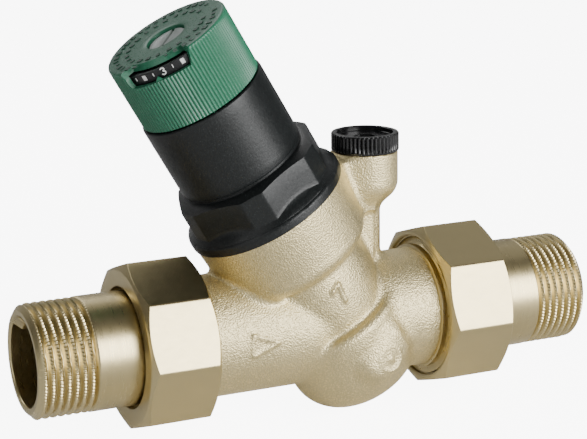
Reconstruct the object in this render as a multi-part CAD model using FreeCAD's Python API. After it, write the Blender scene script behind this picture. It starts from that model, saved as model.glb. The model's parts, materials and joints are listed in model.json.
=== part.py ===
import FreeCAD, Part
import math
import os

# A pipe-fitted water pressure regulator.  The row's origin is the centre of the inlet end face,
# +X is the way the water flows along the pipe, and +Z is up.  Millimetres throughout.

# ---- pipe line -------------------------------------------------------------------------------
outlet_reach = 79.5         # the point where the spring axis crosses the pipe, to the outlet end face
flange_clear = 1.366        # inlet union nut's mouth to the bonnet's flange, along the pipe
waterway_r = 13.0           # bore of the tailpieces and of the casting's pipes
pipe_wall = 5.08            # cast wall round the waterway
thread_pitch = 2.309        # 11 threads to the inch, on the tailpieces and on the unions
thread_depth = 1.479        # depth of that 55 degree thread, on the unions
crest_share = 0.30          # share of the pitch that a crest's flat takes
root_share = 0.16           # share of the pitch that a root's flat takes

# ---- tailpieces, R 1 outside thread ----------------------------------------------------------
tail_wall = 3.62            # bore to the thread's crests
tail_thread_turns = 7       # crests
tail_first_crest = 1.1      # end face to the first crest
tail_end_chamfer = 1.92     # the end face's rim is this far inside the crests
tail_groove_width = 0.46    # the thread is drawn as broad crests with narrow grooves between them
tail_groove_depth = 0.46
tail_relief = 0.6           # plain groove behind the thread
tail_over_thread = 0.08     # the smooth stretch stands this far over the crests
tail_showing = 30.0         # end face to the union nut
collar_thick = 4.5          # collar that the nut draws in
lug_high = 2.4              # the two key lugs in the bore
lug_width = 5.0
lug_first = 0.4             # end face to the foot of the lug's ramp
lug_ramp = 2.2              # length of the ramp
lug_last = 8.5              # end face to the lug's back
lug_turn_deg = 145.0

# ---- union nuts, G 1 1/4 thread --------------------------------------------------------------
union_over_tail = 4.335     # the casting's thread is this much larger than the tailpiece's
nut_wall = 2.395            # thread to flat
nut_width = 21.3
nut_end_wall = 4.0          # wall that bears on the collar
nut_sides = 8
nut_face_rim = 0.85         # the end faces stop this far inside the flats
nut_corner_chamfer = 1.7    # axial length of the corner chamfer
nut_mouth_over = 0.55       # mouth counterbore over the thread
nut_mouth_depth = 1.5
nut_groove = 0.5            # depth of the nut's thread grooves
nut_bore_over = 1.0         # hole in the end wall, over the tailpiece
collar_gap = 0.5            # collar inside the nut's thread
inlet_nut_turn_deg = 2.4    # how far each nut's corners stand from level
outlet_nut_turn_deg = -4.3
gasket_thick = 2.0
gasket_inside = 0.6         # gasket's bore over the waterway
thread_relief = 2.0         # plain groove behind the casting's thread
relief_over_pipe = 0.9      # the relief's radius over the cast pipe
first_land = 0.5            # casting's end face to the first root

# ---- spring axis and casting, heights measured along the spring axis from the crossing --------
tilt_deg = 30.0             # spring axis from the vertical, towards the inlet
chamber_over = 1.6          # chamber round the cartridge, over the waterway
drum_wall = 3.4
partition_low = -3.0        # wall that holds the seat, between inlet and outlet
partition_high = 1.5
seat_shoulder = 3.6         # partition left round the seat's hole, inside the chamber
bowl_rim_wall = 4.5         # bowl over the lower chamber at its rim
bowl_wall = 3.4             # and at its foot
bowl_chamber_over = 2.4     # lower chamber over the upper one
bowl_rim_high = 3.0
bowl_rim_round = 2.6
bowl_straight = 11.6        # crossing down to where the dome starts
bowl_depth = 25.1           # crossing down to the bottom of the bowl
bowl_floor = 3.6
shelf_width = 2.9           # shelf that the cartridge head sits on
diaphragm_shelf = 2.5       # shelf that the diaphragm sits on
housing_wall = 3.35         # casting outside the bonnet's thread
housing_draft = 0.9         # the housing widens this much towards the rim
housing_foot_round = 4.0
housing_under_shelf = 3.2   # shelf down to where the housing leaves the drum
bonnet_thread_length = 11.86  # diaphragm's shelf up to the casting's rim

# ---- gauge port -------------------------------------------------------------------------------
plug_clear = 0.83           # bonnet's flange to the plug's head
boss_r = 9.8
boss_over_flange = 0.96     # boss's top above the flange's nearest corner
boss_height = 9.4
boss_taper = 8.0
boss_neck_r = 4.5
port_r = 6.65
port_depth = 10.4
bridge_half_width = 6.86    # casting between the boss and the housing
bridge_drop = 1.4           # boss's top to the bridge's
pilot_r = 1.0
pilot_shift = 2.6           # port's axis to the drilling down its leg
cross_pilot_r = 1.2

# ---- clearances -------------------------------------------------------------------------------
running = 0.05              # radial, for what turns or slides in a bore
still = 0.03                # radial, between pieces that stay together
face_gap = 0.1              # between faces of pieces that part
thread_gap = 0.15           # crest to crest, the threads being plain rings

# ---- cartridge ---------------------------------------------------------------------------------
seat_ring_wall = 3.0
seat_flange_gap = 1.2       # inside the chamber
seat_flange_thick = 2.0
seat_lip = 1.0              # the seat's edge below the partition
valve_lift = 2.5
closed_gap = 0.2            # seal to seat with the valve shut
cage_wall = 1.8
cage_gap = 0.7              # cage to strainer
cage_windows = 6
cage_post_width = 4.8       # post left between two windows
cage_window_margin = 2.6
strainer_gap = 0.6          # strainer's frame to the chamber
strainer_thick = 0.3
strainer_rim = 1.5
strainer_rim_over = 0.8
strainer_ribs = 4
strainer_rib_width = 1.6
strainer_first_deg = 45.0
head_margin = 0.2           # cartridge head above the waterway's highest edge in the chamber
head_spigot = 2.0
head_flange = 2.0
head_flange_fit = 0.2
bush_r = 6.0
bush_collar_over = 2.0
bush_low_drop = 4.0
bush_high_rise = 0.8
stem_r = 4.0
stem_end_r = 3.0
seal_ring_r = 0.9           # section radius of the seat's seal ring
head_seal_r = 0.8           # of the head's
stem_seal_r = 0.8           # and of the stem's

# ---- valve and diaphragm ------------------------------------------------------------------------
disc_over_seat = 1.6        # valve disc over the seat's bore
disc_lip = 1.0
seal_thick = 2.0
holder_thick = 2.5
holder_lip = 0.25
disc_screw_r = 2.0
disc_screw_head_r = 4.5
disc_screw_head = 2.6
disc_screw_depth = 8.0
backing_clear = 1.0         # bush to backing washer with the valve open
backing_thick = 1.5
backing_inside = 1.0        # backing washer inside the pressure plate
diaphragm_thick = 2.0
diaphragm_rim_fit = 0.3
roll_outside_plate = 0.6    # rolled part of the diaphragm, outside the pressure plate
roll_width = 2.8
roll_hollow = 0.3           # radius of the hollow as a share of the roll's width
slip_ring_thick = 2.0
plate_gap = 2.6             # pressure plate inside the bonnet's bore
plate_thick = 2.5
plate_rim = 1.2             # height of the rim that keeps the spring centred
plate_rim_wall = 0.6
diaphragm_nut_flats = 10.0
diaphragm_nut_high = 4.0
stem_over_nut = 1.5

# ---- bonnet ---------------------------------------------------------------------------------------
skirt_wall = 4.4            # bonnet's skirt, thread to bore
skirt_turns = 5
skirt_pitch = 1.5
skirt_depth = 0.7
flange_over = 0.5           # flange over the casting's rim
flange_thick = 3.0
flange_edge = 0.35          # the flange's upper edge is turned in this much
hex_wall = 5.8              # bore to flat
hex_corner_over = 2.6       # width over the cut corners, past the width over the flats
hex_turn_deg = 39.0         # one flat's normal, round the spring axis
hex_height = 12.0           # from the flange's top
hex_cone_wall = 5.0
hex_top_chamfer = 1.7       # height of the chamfer round the hexagon's top
hex_chamfer_in = 4.08       # and how far it comes in
barrel_wall = 3.6
barrel_height = 24.6        # barrel above the hexagon
bonnet_roof = 3.3
neck_inside = 6.0           # neck inside the barrel
neck_wall = 3.0
guide_ribs = 3
guide_rib_width = 2.0
guide_rib_high = 1.4
guide_gap = 0.3

# ---- spring and its plates ---------------------------------------------------------------------
spring_side_gap = 0.2       # spring inside the pressure plate's rim
wire_r = 1.6
spring_coils = 6
spring_end_gap = 0.12
spring_space = 33.0         # pressure plate to spring plate
spring_plate_thick = 3.0
spring_hub_gap = 1.4
spring_plate_hub = 7.0

# ---- spindle, knob and scale ------------------------------------------------------------------
spindle_r = 5.0
spindle_tail = 8.0          # spindle below the spring plate's hub
spindle_collar_over = 3.4
spindle_collar = 2.4
thrust_washer_thick = 0.8
thrust_washer_over = 1.0    # past the spindle's collar
snap_ring_thick = 1.0
snap_ring_over = 2.6
snap_groove = 0.7
knob_gap = 0.35
knob_inside = 0.5           # knob inside the barrel
knob_height = 20.0
knob_wall = 1.6
knob_roof = 1.5
knob_edge = 0.5
knob_ribs = 110
knob_rib_depth = 0.28
knob_hub_wall = 3.6
spline_flat = 0.8           # flat that keys the knob to the spindle
recess_over = 1.0           # knob's recess over the spindle
recess_depth = 0.8          # knob's top to the lock screw's
window_centre_deg = 131.0   # round the spring axis, from downstream towards the front
window_width_deg = 68.0
window_height = 4.9
window_depth = 3.2
scale_ring_wall = 1.4
scale_ring_high = 4.6
scale_ring_gap = 0.4
lock_screw_gap = 0.3        # lock screw's head in its recess
lock_screw_head = 1.6
lock_screw_shank_r = 2.5
lock_screw_length = 9.0
slot_width = 1.3
slot_depth = 0.9

# ---- gauge port plug ----------------------------------------------------------------------------
plug_over_boss = 0.34       # plug's head outside the boss
plug_head = 5.55
plug_knurls = 48
plug_knurl_r = 0.32
plug_rim = 1.75
plug_recess = 1.5
plug_thread_gap = 0.15
plug_shank = 7.0
plug_ring_section_r = 0.8
plug_ring_out = 1.35        # seal ring's middle outside the port
plug_hexagon = 6.0
plug_hexagon_deep = 2.0     # below the recess

# ---- worked out from the above ------------------------------------------------------------------
spare = 1.0                 # cutting tools run past their faces by this much
tilt_sin = math.sin(math.radians(tilt_deg))
tilt_cos = math.cos(math.radians(tilt_deg))
pipe_r = waterway_r + pipe_wall
# tailpieces and unions
tail_thread_r = waterway_r + tail_wall
tail_groove_r = tail_thread_r - tail_groove_depth
tail_r = tail_thread_r + tail_over_thread
tail_thread_end = tail_first_crest + tail_thread_turns * thread_pitch - tail_groove_width / 2
union_thread_r = tail_thread_r + union_over_tail
nut_flats = 2 * (union_thread_r + nut_wall)
nut_corner_r = nut_flats / 2 / math.cos(math.pi / nut_sides)
nut_crest_r = union_thread_r + thread_gap
nut_bore_r = tail_r + nut_bore_over
collar_r = nut_crest_r - collar_gap
union_length = nut_width - nut_end_wall - face_gap - collar_thick - gasket_thick - face_gap
union_turns = int((union_length - nut_mouth_depth) / thread_pitch + root_share)
casting_end = tail_showing + nut_width - union_length   # casting's end face, from the tail's end face
gasket_start = casting_end - face_gap - gasket_thick
# casting about the spring axis
chamber_r = waterway_r + chamber_over
drum_r = chamber_r + drum_wall
bowl_chamber_r = chamber_r + bowl_chamber_over
bowl_rim_r = bowl_chamber_r + bowl_rim_wall
bowl_foot_r = bowl_chamber_r + bowl_wall
sensing_r = chamber_r + shelf_width
bonnet_thread_r = sensing_r + diaphragm_shelf
housing_low_r = bonnet_thread_r + housing_wall
housing_top_r = housing_low_r + housing_draft
head_low = (waterway_r + chamber_r * tilt_sin) / tilt_cos + head_margin
shelf_high = head_low + head_spigot
head_top = shelf_high + head_flange
bush_low = head_low - bush_low_drop
bush_top = head_top + bush_high_rise
backing_low = bush_top + backing_clear
diaphragm_low = backing_low + backing_thick
diaphragm_top = diaphragm_low + diaphragm_thick
slip_ring_top = diaphragm_top + slip_ring_thick
housing_neck = shelf_high - housing_under_shelf
housing_foot = housing_neck + housing_foot_round / 2
housing_top = diaphragm_low + bonnet_thread_length
# cartridge and valve
seat_hole_r = chamber_r - seat_shoulder
seat_ring_r = seat_hole_r - still
seat_bore_r = seat_hole_r - seat_ring_wall
seat_flange_top = partition_high + seat_flange_thick
seat_edge = partition_low - seat_lip
seat_groove_mid = (partition_low + partition_high) / 2
strainer_frame_r = chamber_r - strainer_gap
strainer_r = strainer_frame_r - strainer_rim_over
cage_r = strainer_r - strainer_thick - cage_gap
disc_r = seat_bore_r + disc_over_seat
seal_top = seat_edge - closed_gap - valve_lift
seal_low = seal_top - seal_thick
holder_low = seal_low - holder_thick
# bonnet, spring and plates
bonnet_bore_r = bonnet_thread_r - skirt_wall
plate_r = bonnet_bore_r - plate_gap
spring_mean_r = plate_r - plate_rim_wall - spring_side_gap - wire_r
spring_hub_r = spring_mean_r - wire_r - spring_hub_gap
flange_r = housing_top_r + flange_over
hex_flats = 2 * (bonnet_bore_r + hex_wall)
hex_corner_flats = hex_flats + hex_corner_over
barrel_r = bonnet_bore_r + barrel_wall
neck_r = barrel_r - neck_inside
neck_bore_r = neck_r - neck_wall
plate_top = diaphragm_top + plate_thick
nut_top = plate_top + diaphragm_nut_high
flange_top = housing_top + flange_thick
hex_top = flange_top + hex_height
bonnet_top = hex_top + barrel_height
roof_low = bonnet_top - bonnet_roof
spring_plate_low = plate_top + spring_space
spring_plate_top = spring_plate_low + spring_plate_thick
washer_low = roof_low - face_gap - thrust_washer_thick
collar_top = washer_low - face_gap
# knob and scale
snap_low = bonnet_top + face_gap
snap_top = snap_low + snap_ring_thick
knob_r = barrel_r - knob_inside
knob_bore_r = knob_r - knob_wall
knob_low = bonnet_top + knob_gap
knob_top = knob_low + knob_height
knob_roof_low = knob_top - knob_roof
recess_r = spindle_r + recess_over
scale_r = knob_bore_r - scale_ring_gap
scale_top = knob_roof_low - scale_ring_gap
scale_low = scale_top - scale_ring_high
spindle_top = knob_top - recess_depth - lock_screw_head
# along the pipe, from the inlet end face to the crossing and to the outlet end face
inlet_reach = tail_showing + nut_width + flange_clear + flange_r * tilt_cos + flange_top * tilt_sin
overall = inlet_reach + outlet_reach
# gauge port, upright at the flange's downstream side
port_offset = flange_r * tilt_cos - housing_top * tilt_sin + plug_clear + boss_r + plug_over_boss
port_x = inlet_reach + port_offset
boss_top = flange_r * tilt_sin + housing_top * tilt_cos + boss_over_flange
boss_low = boss_top - boss_height
boss_neck_top = boss_low - boss_taper
port_floor = boss_top - port_depth
plug_seat = boss_top + face_gap
plug_top = plug_seat + plug_head
plug_head_r = boss_r + plug_over_boss
plug_ring_mean_r = port_r + plug_ring_out


# ---- helpers ------------------------------------------------------------------------------------
def point(x, y, z):
    return FreeCAD.Vector(x, y, z)


def disc(radius, low, high):
    """A cylinder about Z from low to high."""
    return Part.makeCylinder(radius, high - low, point(0, 0, low))


def ring(outer, inner, low, high):
    """A plain ring about Z."""
    return disc(outer, low, high).cut(disc(inner, low - spare, high + spare))


def turned(outline):
    """The solid that a closed outline of (radius, height) corners makes when turned about Z."""
    corners = [point(r, 0, h) for r, h in outline]
    face = Part.Face(Part.makePolygon(corners + corners[:1]))
    return face.revolve(point(0, 0, 0), point(0, 0, 1), 360)


def prism(sides, flats, low, high, turn_deg=0.0):
    """A regular prism about Z.  turn_deg is where its first corner stands."""
    corner_r = flats / 2 / math.cos(math.pi / sides)
    angles = [math.radians(turn_deg) + 2 * math.pi * k / sides for k in range(sides)]
    corners = [point(corner_r * math.cos(a), corner_r * math.sin(a), low) for a in angles]
    face = Part.Face(Part.makePolygon(corners + corners[:1]))
    return face.extrude(point(0, 0, high - low))


def box(x0, x1, y0, y1, z0, z1):
    return Part.makeBox(x1 - x0, y1 - y0, z1 - z0, point(x0, y0, z0))


def turned_by(shape, degrees):
    copy = shape.copy()
    copy.rotate(point(0, 0, 0), point(0, 0, 1), degrees)
    return copy


def around(shape, count, first_deg=0.0):
    """count copies of a shape spaced evenly about Z."""
    return [turned_by(shape, first_deg + 360.0 * k / count) for k in range(count)]


def torus(mean_r, section_r, height):
    return Part.makeTorus(mean_r, section_r, point(0, 0, height))


def rounded_turn(outline, edges_round):
    """turned(), with a fillet on each circle whose (radius, height) is given."""
    solid = turned(outline)
    for radius, height, size in edges_round:
        picked = []
        for edge in solid.Edges:
            curve = edge.Curve
            if not isinstance(curve, Part.Circle):
                continue
            if abs(curve.Radius - radius) < 1e-4 and abs(curve.Center.z - height) < 1e-4:
                picked.append(edge)
        solid = solid.makeFillet(size, picked)
    return solid


def on_spring_axis(shape):
    """From the spring axis's own frame (Z along the spring) to the row's frame."""
    copy = shape.copy()
    copy.rotate(point(0, 0, 0), point(0, 1, 0), -tilt_deg)
    copy.translate(point(inlet_reach, 0, 0))
    return copy


def from_inlet(shape):
    """Z becomes the distance from the inlet end face, along +X."""
    copy = shape.copy()
    copy.rotate(point(0, 0, 0), point(0, 1, 0), 90)
    return copy


def from_outlet(shape):
    """Z becomes the distance from the outlet end face, along -X."""
    copy = shape.copy()
    copy.rotate(point(0, 0, 0), point(0, 1, 0), -90)
    copy.translate(point(overall, 0, 0))
    return copy


def on_port(shape):
    copy = shape.copy()
    copy.translate(point(port_x, 0, 0))
    return copy


def thread_outline(first_root, turns, pitch, root_r, crest_r):
    """Corners of plain rings with a thread's section, from first_root upwards."""
    crest = pitch * crest_share
    flank = pitch * (1 - crest_share - root_share) / 2
    corners = []
    for turn in range(turns):
        start = first_root + turn * pitch
        corners += [(root_r, start), (crest_r, start + flank)]
        corners += [(crest_r, start + flank + crest), (root_r, start + 2 * flank + crest)]
    return corners


def one_solid(shape):
    shape = shape.removeSplitter()
    if len(shape.Solids) == 1:
        return shape.Solids[0]
    return shape


# ---- unions ---------------------------------------------------------------------------------------
def tail_thread_outline():
    """Corners of the tailpiece's thread: broad crests, each followed by a narrow groove."""
    crest = thread_pitch - tail_groove_width
    corners = []
    for turn in range(tail_thread_turns):
        low = tail_first_crest + turn * thread_pitch
        corners += [(tail_thread_r, low), (tail_thread_r, low + crest)]
        corners += [(tail_groove_r, low + crest + tail_groove_width / 2)]
    return corners


def key_lug():
    """Lug with a ramped front, standing in from the bore on +X."""
    top_r = waterway_r - lug_high
    outline = [(waterway_r + spare, lug_first), (waterway_r, lug_first), (top_r, lug_first + lug_ramp),
               (top_r, lug_last), (waterway_r + spare, lug_last)]
    corners = [point(r, -lug_width / 2, h) for r, h in outline]
    face = Part.Face(Part.makePolygon(corners + corners[:1]))
    return face.extrude(point(0, lug_width, 0))


def tailpiece():
    """Tailpiece from its end face (0) to the back of its collar."""
    collar_back = gasket_start - face_gap
    collar_front = collar_back - collar_thick
    relief_end = tail_thread_end + tail_relief
    neck_start = relief_end + tail_r - tail_groove_r
    sleeve = turned(
        [(waterway_r, 0), (tail_thread_r - tail_end_chamfer, 0)] + tail_thread_outline()
        + [(tail_groove_r, relief_end), (tail_r, neck_start), (tail_r, collar_front)]
        + [(collar_r, collar_front), (collar_r, collar_back), (waterway_r, collar_back)])
    return sleeve.fuse(around(key_lug(), 2, lug_turn_deg))


def union_nut(corner_deg):
    """Octagonal nut, from its end wall's outer face to its threaded mouth."""
    outer = tail_showing
    inner = tail_showing + nut_width
    body = prism(nut_sides, nut_flats, outer, inner, corner_deg)
    face_r = nut_flats / 2 - nut_face_rim
    envelope = turned([
        (0, outer), (face_r, outer), (nut_corner_r, outer + nut_corner_chamfer),
        (nut_corner_r, inner - nut_corner_chamfer), (face_r, inner), (0, inner)])
    body = body.common(envelope)
    wall_top = outer + nut_end_wall
    grooves = thread_outline(casting_end, union_turns, thread_pitch, nut_crest_r, nut_crest_r + nut_groove)
    mouth_r = union_thread_r + nut_mouth_over
    mouth = [(nut_crest_r, inner - nut_mouth_depth), (mouth_r, inner - nut_mouth_depth)]
    bore = turned(
        [(0, outer - spare), (nut_bore_r, outer - spare), (nut_bore_r, wall_top), (nut_crest_r, wall_top)]
        + grooves + mouth + [(mouth_r, inner + spare), (0, inner + spare)])
    return body.cut(bore)


def union_gasket():
    return ring(collar_r, waterway_r + gasket_inside, gasket_start, gasket_start + gasket_thick)


# ---- casting --------------------------------------------------------------------------------------
def casting_pipe(reach):
    """A cast pipe with its threaded end, from the end face to the crossing."""
    root_r = union_thread_r - thread_depth
    rings = thread_outline(casting_end + first_land, union_turns, thread_pitch, root_r, union_thread_r)
    relief_start = rings[-1][1]
    relief_end = relief_start + thread_relief
    relief_r = pipe_r + relief_over_pipe
    return turned(
        [(0, casting_end), (root_r, casting_end)] + rings
        + [(relief_r, relief_start), (relief_r, relief_end)]
        + [(pipe_r, relief_end), (pipe_r, reach), (0, reach)])


def casting_barrel():
    """Housing, drum and bowl: everything cast about the spring axis, solid."""
    housing = rounded_turn([
        (0, housing_neck), (drum_r, housing_neck), (housing_low_r, housing_foot),
        (housing_top_r, housing_top), (0, housing_top)],
        [(housing_low_r, housing_foot, housing_foot_round)])
    drum = disc(drum_r, partition_low, housing_neck + spare)
    dome_round = bowl_depth - bowl_straight - spare
    bowl = rounded_turn([
        (0, -bowl_depth), (bowl_foot_r, -bowl_depth), (bowl_foot_r, -bowl_straight),
        (bowl_rim_r, partition_low), (bowl_rim_r, bowl_rim_high), (0, bowl_rim_high)],
        [(bowl_rim_r, bowl_rim_high, bowl_rim_round), (bowl_foot_r, -bowl_depth, dome_round)])
    return housing.fuse(drum).fuse(bowl)


def gauge_boss():
    """Upright boss of the gauge port, its neck, and the leg down to the outlet pipe."""
    boss = turned([
        (0, waterway_r), (boss_neck_r, waterway_r), (boss_neck_r, boss_neck_top), (boss_r, boss_low),
        (boss_r, boss_top), (0, boss_top)])
    leg = box(-port_offset, boss_neck_r, -boss_neck_r, boss_neck_r, waterway_r, boss_neck_top)
    bridge = box(-port_offset, 0, -bridge_half_width, bridge_half_width, boss_neck_top,
                 boss_top - bridge_drop)
    outside = boss.fuse(leg).fuse(bridge)
    return on_port(outside)


def casting_cores():
    """Hollows of the casting: waterways, chambers, and the thread for the bonnet."""
    half_space = 4 * overall
    above = on_spring_axis(box(-half_space, half_space, -half_space, half_space, partition_high, half_space))
    below = on_spring_axis(box(-half_space, half_space, -half_space, half_space, -half_space, partition_low))
    inlet = from_inlet(disc(waterway_r, casting_end - spare, inlet_reach)).common(above)
    outlet = from_outlet(disc(waterway_r, casting_end - spare, outlet_reach)).common(below)
    bowl_low = bowl_floor - bowl_depth
    lower = rounded_turn([
        (0, bowl_low), (bowl_chamber_r, bowl_low), (bowl_chamber_r, partition_low), (0, partition_low)],
        [(bowl_chamber_r, bowl_low, -bowl_straight - bowl_low)])
    upper = disc(chamber_r, partition_high, shelf_high + spare)
    sensing = disc(sensing_r, shelf_high, diaphragm_low + spare)
    thread = disc(bonnet_thread_r, diaphragm_low, housing_top + spare)
    seat_hole = disc(seat_hole_r, partition_low - spare, partition_high + spare)
    turned_cores = on_spring_axis(lower.fuse(upper).fuse(sensing).fuse(thread).fuse(seat_hole))
    port = on_port(disc(port_r, port_floor, boss_top + spare))
    pilot = Part.makeCylinder(pilot_r, port_floor + spare, point(port_x + pilot_shift, 0, 0))
    return [inlet, outlet, turned_cores, port, pilot, sensing_pilot()]


def sensing_pilot():
    """Drilling from the foot of the gauge port into the chamber under the diaphragm."""
    middle = (head_top + diaphragm_low) / 2
    reach = sensing_r - spare
    start = point(port_x, 0, port_floor + cross_pilot_r)
    end = point(inlet_reach + reach * tilt_cos - middle * tilt_sin, 0, reach * tilt_sin + middle * tilt_cos)
    way = end.sub(start)
    return Part.makeCylinder(cross_pilot_r, way.Length, start, way)


def body_casting():
    outside = from_inlet(casting_pipe(inlet_reach))
    outside = outside.fuse(from_outlet(casting_pipe(outlet_reach)))
    outside = outside.fuse(on_spring_axis(casting_barrel()))
    outside = outside.fuse(gauge_boss())
    above_rim = on_spring_axis(disc(flange_r, housing_top, housing_top + flange_r))
    return outside.cut([above_rim] + casting_cores())


# ---- cartridge ------------------------------------------------------------------------------------
def valve_seat_ring():
    flange = disc(chamber_r - seat_flange_gap, partition_high, seat_flange_top)
    body = disc(seat_ring_r, seat_edge, partition_high).fuse(flange)
    groove = ring(seat_ring_r + spare, seat_ring_r - 2 * seal_ring_r, seat_groove_mid - seal_ring_r - still,
                  seat_groove_mid + seal_ring_r + still)
    return body.cut([groove, disc(seat_bore_r, seat_edge - spare, seat_flange_top + spare)])


def seat_o_ring():
    return torus(seat_ring_r - seal_ring_r, seal_ring_r, seat_groove_mid)


def cartridge_cage():
    low = seat_flange_top
    tube = ring(cage_r, cage_r - cage_wall, low, head_low)
    half_width = cage_r * math.sin(math.pi / cage_windows) - cage_post_width / 2
    window = box(0, cage_r + spare, -half_width, half_width, low + cage_window_margin,
                 head_low - cage_window_margin)
    return tube.cut(around(window, cage_windows))


def strainer_mesh():
    low = seat_flange_top + strainer_rim
    return ring(strainer_r, strainer_r - strainer_thick, low, head_low - strainer_rim)


def strainer_frame():
    low_rim = ring(strainer_frame_r, cage_r + still, seat_flange_top, seat_flange_top + strainer_rim)
    high_rim = ring(strainer_frame_r, cage_r + still, head_low - strainer_rim, head_low)
    rib = box(strainer_r + still, strainer_frame_r, -strainer_rib_width / 2, strainer_rib_width / 2,
              seat_flange_top, head_low)
    envelope = disc(strainer_frame_r, seat_flange_top, head_low)
    frame = low_rim.fuse(high_rim)
    for one in around(rib, strainer_ribs, strainer_first_deg):
        frame = frame.fuse(one.common(envelope))
    return frame


def cartridge_head():
    spigot_r = chamber_r - still
    spigot = disc(spigot_r, head_low, shelf_high)
    flange = disc(sensing_r - head_flange_fit, shelf_high, head_top)
    groove_mid = (head_low + shelf_high) / 2
    half_groove = head_seal_r + still
    groove = ring(spigot_r + spare, spigot_r - 2 * head_seal_r, groove_mid - half_groove,
                  groove_mid + half_groove)
    bush_hole = disc(bush_r + still, head_low - spare, head_top + spare)
    return spigot.fuse(flange).cut([groove, bush_hole])


def cartridge_head_o_ring():
    return torus(chamber_r - still - head_seal_r, head_seal_r, (head_low + shelf_high) / 2)


def stem_guide_bush():
    bush = ring(bush_r, stem_r + running, bush_low, bush_top)
    collar = ring(bush_r + bush_collar_over, bush_r - still, head_top, bush_top)
    middle = (bush_low + bush_top) / 2
    half_groove = stem_seal_r + still
    groove = ring(stem_r + 2 * stem_seal_r, stem_r - spare, middle - half_groove, middle + half_groove)
    return bush.fuse(collar).cut(groove)


def stem_o_ring():
    section = stem_seal_r - still
    return torus(stem_r + running + section, section, (bush_low + bush_top) / 2)


# ---- valve ------------------------------------------------------------------------------------------
def valve_stem():
    stem = disc(stem_r, seal_top, backing_low)
    lower = disc(stem_end_r, holder_low, seal_top)
    upper = disc(stem_end_r, backing_low, nut_top + stem_over_nut)
    hole = disc(disc_screw_r + still, holder_low - spare, holder_low + disc_screw_depth)
    return stem.fuse(lower).fuse(upper).cut(hole)


def valve_disc_holder():
    plate = ring(disc_r, stem_end_r + still, holder_low, seal_low)
    lip = ring(disc_r, disc_r - disc_lip, seal_low, seal_top - seal_thick * holder_lip)
    return plate.fuse(lip)


def valve_disc_seal():
    return ring(disc_r - disc_lip - still, stem_end_r + still, seal_low, seal_top)


def valve_disc_screw():
    head = disc(disc_screw_head_r, holder_low - disc_screw_head, holder_low)
    shank = disc(disc_screw_r, holder_low, holder_low + disc_screw_depth - spare)
    socket = prism(6, disc_screw_r * 2, holder_low - disc_screw_head - spare, holder_low - spare)
    return head.fuse(shank).cut(socket)


def diaphragm_backing_washer():
    return ring(plate_r - backing_inside, stem_end_r + still, backing_low, diaphragm_low)


def diaphragm():
    """Rubber sheet with one rolled corrugation, hollow underneath, outside the pressure plate."""
    sheet = ring(bonnet_thread_r - diaphragm_rim_fit, stem_end_r + still, diaphragm_low, diaphragm_top)
    hollow = torus(plate_r + roll_outside_plate + roll_width / 2, roll_width * roll_hollow, diaphragm_low)
    return sheet.cut(hollow)


def diaphragm_slip_ring():
    return ring(bonnet_thread_r - diaphragm_rim_fit, bonnet_bore_r, diaphragm_top, slip_ring_top)


def diaphragm_pressure_plate():
    plate = ring(plate_r, stem_end_r + still, diaphragm_top, plate_top)
    rim = ring(plate_r, plate_r - plate_rim_wall, plate_top, plate_top + plate_rim)
    return plate.fuse(rim)


def diaphragm_nut():
    nut = prism(6, diaphragm_nut_flats, plate_top, nut_top)
    return nut.cut(disc(stem_end_r + still, plate_top - spare, nut_top + spare))


# ---- bonnet -----------------------------------------------------------------------------------------
def spring_bonnet():
    skirt_r = bonnet_thread_r - thread_gap
    skirt_start = slip_ring_top + still
    rings = thread_outline(skirt_start, skirt_turns, skirt_pitch, skirt_r - skirt_depth, skirt_r)
    skirt = turned([(0, skirt_start)] + rings + [(skirt_r - skirt_depth, housing_top), (0, housing_top)])
    cone_r = bonnet_bore_r + hex_cone_wall
    flange = turned([
        (0, housing_top), (flange_r, housing_top), (flange_r - flange_edge, flange_top),
        (cone_r, flange_top + flange_r - flange_edge - cone_r), (0, hex_top - spare)])
    flats = prism(6, hex_flats, flange_top, hex_top, hex_turn_deg + 30)
    cut_corners = prism(6, hex_corner_flats, flange_top, hex_top, hex_turn_deg)
    crown_r = hex_corner_flats / 2 + spare
    crown = turned([
        (0, flange_top), (crown_r, flange_top), (crown_r, hex_top - hex_top_chamfer),
        (crown_r - hex_chamfer_in, hex_top), (0, hex_top)])
    hexagon = flats.common(cut_corners).common(crown)
    barrel = disc(barrel_r, hex_top - spare, bonnet_top)
    neck = disc(neck_r, bonnet_top - spare, scale_low)
    outside = skirt.fuse([flange, hexagon, barrel, neck])
    bore = disc(bonnet_bore_r, slip_ring_top - spare, roof_low)
    spindle_hole = disc(spindle_r + running, roof_low - spare, bonnet_top + spare)
    neck_bore = disc(neck_bore_r, bonnet_top, scale_low + spare)
    shell = outside.cut([bore, spindle_hole, neck_bore])
    rib = box(bonnet_bore_r - guide_rib_high, bonnet_bore_r + still, -guide_rib_width / 2,
              guide_rib_width / 2, hex_top, roof_low)
    for one in around(rib, guide_ribs):
        shell = shell.fuse(one)
    return shell


# ---- spring and spindle ----------------------------------------------------------------------------
def adjusting_spring():
    low = plate_top + wire_r + spring_end_gap
    high = spring_plate_low - wire_r - spring_end_gap
    path = Part.makeHelix((high - low) / spring_coils, high - low, spring_mean_r)
    start = path.Vertexes[0].Point
    section = Part.Wire(Part.makeCircle(wire_r, start, point(0, 1, 0)))
    spring = Part.Wire(path).makePipeShell([section], True, True)
    spring.translate(point(0, 0, low))
    return spring


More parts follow.
